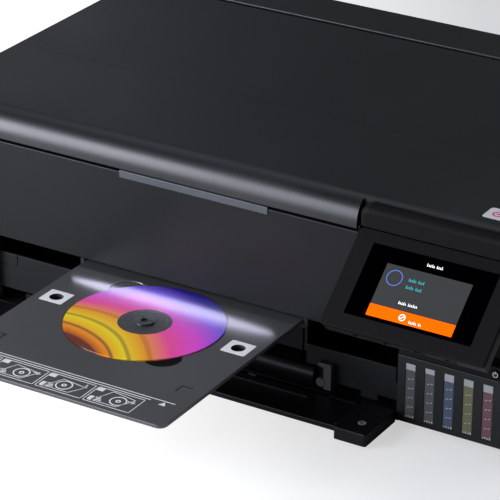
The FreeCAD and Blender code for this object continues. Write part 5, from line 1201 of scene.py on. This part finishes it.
@dataclass(frozen=True)
class DiscPrint(Finish):
    """Ink-jet printing on a white lacquered disc, satin, around a bare clear hub.

    The print is an abstract of wide arcs around a point outside the disc, from dark and warm
    colours near it to cool ones far from it, with fine ribbons of darker ink that follow them.

    Attributes:
        middle: The middle of the disc, as x and y.
        focus: The point that the arcs turn about, counted from the middle of the disc.
        near: The smallest radius of the arcs that falls on the disc.
        far: The largest one.
        bare: The radius of the bare hub.
        ribbon_mm: The spacing of the ribbons.
    """

    middle: tuple[float, float] = (-20.0 * MM, -250.0 * MM)
    focus: tuple[float, float] = (-34.0 * MM, -92.0 * MM)
    near: float = 38.0 * MM
    far: float = 158.0 * MM
    bare: float = 20.2 * MM
    ribbon_mm: float = 13.0

    def build(self) -> bpy.types.Material:
        """Builds the material."""
        material, tree, shader, place = self.start()
        parts = add_node(tree, "SeparateXYZ", {"Vector": place.outputs["Object"]})
        flat = add_node(
            tree, "CombineXYZ", {"X": parts.outputs["X"], "Y": parts.outputs["Y"], "Z": 0.0}
        )
        centred = add_node(
            tree, "VectorMath", {0: flat.outputs["Vector"], 1: (*self.middle, 0.0)},
            operation="SUBTRACT"
        )
        turned = add_node(
            tree, "VectorMath", {0: centred.outputs["Vector"], 1: (*self.focus, 0.0)},
            operation="SUBTRACT"
        )
        drift = add_node(
            tree, "TexNoise", {"Vector": centred.outputs["Vector"], "Scale": 11.0, "Detail": 0.0}
        )
        reach = add_node(tree, "VectorMath", {0: turned.outputs["Vector"]}, operation="LENGTH")
        bent = add_node(
            tree, "Math", {0: drift.outputs["Fac"], 1: 0.036, 2: reach.outputs["Value"]},
            operation="MULTIPLY_ADD",
        )
        share = add_node(
            tree, "MapRange",
            {"Value": bent.outputs[0], "From Min": self.near + 0.018,
             "From Max": self.far + 0.018},
        )
        ramp = self._ramp(tree, share.outputs["Result"])
        ribbons = self._ribbons(tree, bent.outputs[0], share.outputs["Result"])
        inked = add_node(
            tree, "Mix",
            {"Factor": ribbons, 6: ramp, 7: linear("#5a1030")},
            data_type="RGBA",
        )
        radius = add_node(tree, "VectorMath", {0: centred.outputs["Vector"]}, operation="LENGTH")
        printed = add_node(
            tree, "Math", {0: radius.outputs["Value"], 1: self.bare}, operation="GREATER_THAN"
        )
        mixed = add_node(
            tree, "Mix",
            {"Factor": printed.outputs[0], 6: linear("#38393a"), 7: inked.outputs[2]},
            data_type="RGBA",
        )
        tree.links.new(mixed.outputs[2], shader.inputs["Base Color"])
        shader.inputs["Specular IOR Level"].default_value = 0.9
        return material

    def _ramp(self, tree: bpy.types.NodeTree, share: bpy.types.NodeSocket) -> bpy.types.NodeSocket:
        """The colours from the nearest arc to the farthest."""
        ramp = add_node(tree, "ValToRGB", {"Fac": share})
        stops = (
            (0.00, "#3a1808"), (0.09, "#7a2e08"), (0.17, "#ff8c00"), (0.30, "#ffe600"),
            (0.42, "#ff9c10"), (0.52, "#ff4ca0"), (0.64, "#f048dc"), (0.78, "#7e4cf0"),
            (0.92, "#2c249a"),
        )
        while len(ramp.color_ramp.elements) < len(stops):
            ramp.color_ramp.elements.new(0.5)
        for element, (position, colour) in zip(ramp.color_ramp.elements, stops):
            element.position, element.color = position, linear(colour)
        return ramp.outputs["Color"]

    def _ribbons(
        self, tree: bpy.types.NodeTree, reach: bpy.types.NodeSocket, share: bpy.types.NodeSocket
    ) -> bpy.types.NodeSocket:
        """How much darker ink lies on each place: thin ribbons, strongest on the warm side."""
        phase = add_node(
            tree, "Math", {0: reach, 1: 2 * math.pi / (self.ribbon_mm * MM)}, operation="MULTIPLY"
        )
        wave = add_node(tree, "Math", {0: phase.outputs[0]}, operation="SINE")
        thin = add_node(
            tree, "MapRange",
            {"Value": wave.outputs[0], "From Min": 0.55, "From Max": 1.0, "To Max": 0.7}
        )
        warm = add_node(
            tree, "MapRange", {"Value": share, "From Min": 0.55, "From Max": 0.25}
        )
        both = add_node(
            tree, "Math", {0: thin.outputs["Result"], 1: warm.outputs["Result"]},
            operation="MULTIPLY"
        )
        return both.outputs[0]


@dataclass
class PaperBay(SubAssembly):
    """The flip-down cover, the two cassettes and the small pieces on them.

    Attributes:
        icon: The middle of the round mark on the cover's raised block, as x and y.
    """

    icon: tuple[float, float] = (145.8 * MM, -220.2 * MM)

    def build(self) -> None:
        """Dresses the bay."""
        self.crisp("front_cover", Finishes.FLAP, 0.5)
        self.crisp("cassette_lower", Finishes.CASSETTE, 0.3)
        self.crisp("cassette_upper", Finishes.CASSETTE, 0.3)
        self.crisp("cassette_grip", Finishes.GRIP, 0.3)
        self.crisp("lock_lever", Finishes.LEVER, 0.3)
        self.paint(Finishes.INNER, "edge_guide_left", "edge_guide_right")
        self.crisp("disc_channel", Finishes.INNER, 0.3)
        self._icon()

    def _icon(self) -> None:
        """Prints a round mark, an open ring with a short arrow through it, on the raised block."""
        top = Face((*self.icon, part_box("front_cover")[1][2]))
        ink = 0.04 * MM
        pieces = [
            top.ring("icon_ring", 0.0, 0.0, 3.0 * MM, 2.1 * MM, ink, 32),
            top.bar("icon_bar", (-1.2 * MM, -1.2 * MM), (1.4 * MM, 1.2 * MM), 0.8 * MM, ink),
            top.bar("icon_barb", (1.4 * MM, 1.2 * MM), (1.4 * MM, -0.4 * MM), 0.7 * MM, ink),
        ]
        self.place(joined(pieces, "cover_icon"), self.body_of("front_cover"),
                   Finishes.MARK.value.material())


@dataclass
class InkBank(SubAssembly):
    """The row of ink tanks behind clear strips in the right front corner.

    Attributes:
        first: The left edge of the first strip.
        pitch: The spacing of the strips.
        wide: The width of a strip.
        low: The strip's lower end.
        high: The strip's upper end.
    """

    first: float = 163.7 * MM
    pitch: float = 15.48 * MM
    wide: float = 8.1 * MM
    low: float = 8.1 * MM
    high: float = 51.9 * MM

    def build(self) -> None:
        """Dresses the tanks and adds what shows in each strip."""
        self.crisp("tank_housing", Finishes.TANKS, 0.35, merge=False)
        self.paint(Finishes.INNER, "tank_caps")
        colours = ("#404040", "#424242", "#3a4454", "#55553c", "#563b41", "#4a4c4e")
        fills = (0.88, 0.90, 0.86, 0.87, 0.86, 0.88)
        strips = WindowStrips("strip_clear", "#5a5a5a", 0.3)
        dress(self.frame["nodes"]["level_windows"], strips.material())
        for i, (colour, fill) in enumerate(zip(colours, fills)):
            tank = MouldedPlastic(f"ink_seen_{i + 1}", colour, 0.35, drift=colour,
                                  grain_depth_mm=0.004)
            dress(self.frame["nodes"][f"ink_tank_{i + 1}"], tank.material())
            self._strip(i, colour, fill)

    def _strip(self, i: int, colour: str, fill: float) -> None:
        """Puts the ink, the empty band, the level ticks and the bright foot into one strip.

        Args:
            i: The strip's number, from the left.
            colour: The ink's colour as it shows through the strip.
            fill: The share of the strip's height that the ink reaches.
        """
        front = Face((0.0, -189.4 * MM, 0.0), (1.0, 0.0, 0.0), (0.0, 0.0, 1.0))
        left = self.first + self.pitch * i
        level = self.low + (self.high - self.low) * fill
        inset, thick = 0.15 * MM, 0.12 * MM
        left, right = left + inset, left + self.wide - inset
        ink = MouldedPlastic(f"ink_strip_{i + 1}", colour, 0.4, drift=colour, grain_mm=0.9,
                             mirror=0.3)
        empty = MouldedPlastic("strip_empty", "#8e8f90", 0.35, drift="#808283", grain_mm=1.2)
        body = self.body_of("level_windows")
        low, high = self.low + inset, self.high - inset
        self.place(front.plate(f"ink_level_{i + 1}", left, right, low, level, thick), body,
                   ink.material())
        self.place(
            front.plate(f"ink_headroom_{i + 1}", left, right, level, high, thick), body,
            empty.material()
        )
        marks = []
        for k in range(4):
            for column in (0.30, 0.66):
                x = left + (right - left) * column
                z = low + (7.5 + 7.6 * k + 1.6 * column) * MM
                marks.append(front.bar("tick", (x, z), (x + 1.2 * MM, z + 0.6 * MM), 0.45 * MM,
                                       0.3 * MM))
        for k in range(4):
            x = left + (0.8 + 1.9 * k) * MM
            tall = (0.9, 1.6, 1.1, 1.8)[k] * MM
            marks.append(front.plate("foot", x, x + 1.0 * MM, low, low + tall, 0.3 * MM))
        self.place(joined(marks, f"level_ticks_{i + 1}"), body, Finishes.TICK.value.material())


@dataclass(frozen=True)
class WindowStrips(Finish):
    """Clear polypropylene strips, slightly milky."""

    def build(self) -> bpy.types.Material:
        """Builds the material."""
        material, tree, shader, place = self.start()
        haze = add_node(
            tree, "TexNoise", {"Vector": place.outputs["Object"], "Scale": 120.0, "Detail": 2.0}
        )
        gloss = add_node(
            tree, "MapRange", {"Value": haze.outputs["Fac"], "To Min": 0.22, "To Max": 0.40}
        )
        tree.links.new(gloss.outputs["Result"], shader.inputs["Roughness"])
        return material


@dataclass
class Mechanism(SubAssembly):
    """What shows inside when the scanner is raised."""

    def build(self) -> None:
        """Dresses the inner pieces."""
        self.paint(Finishes.INNER, "chassis", "platen", "capping_station", "feed_chute")
        self.paint(Finishes.SHEET, "main_frame", "hinge_brackets")
        self.paint(Finishes.SHAFT, "carriage_rod", "feed_roller")
        self.paint(Finishes.SIDE, "carriage_body", "power_supply")
        self.paint(Finishes.PORT, "print_head")
        self.paint(Finishes.BELT, "carriage_belt")
        self.paint(Finishes.NYLON, "belt_pulley_drive", "belt_pulley_idler")
        self.paint(Finishes.MOTOR, "drive_motors")
        self.paint(Finishes.BOARD, "main_board")


@dataclass
class Scanner(SubAssembly):
    """The scanner bed and the underside of the lid."""

    def build(self) -> None:
        """Dresses the scanner."""
        self.crisp("scanner_frame", Finishes.INNER, 0.4)
        self.paint(Finishes.GLASS, "scanner_glass")
        self.paint(Finishes.SHAFT, "scan_rod")
        self.paint(Finishes.GRIP, "scan_bar")
        self.paint(Finishes.INNER, "lid_liner")
        self.paint(Finishes.FOAM, "lid_pad")


def main() -> None:
    """Loads the frame and builds everything around it."""
    logging.basicConfig(level=logging.INFO, format="%(message)s")
    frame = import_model()
    CameraRig().build()
    Studio().build()
    for assembly in (Covers, ControlPanel, DiscTray, PaperBay, InkBank, Mechanism, Scanner):
        LOG.info("building %s", assembly.__name__)
        assembly(frame).build()


if __name__ == "__main__":
    main()
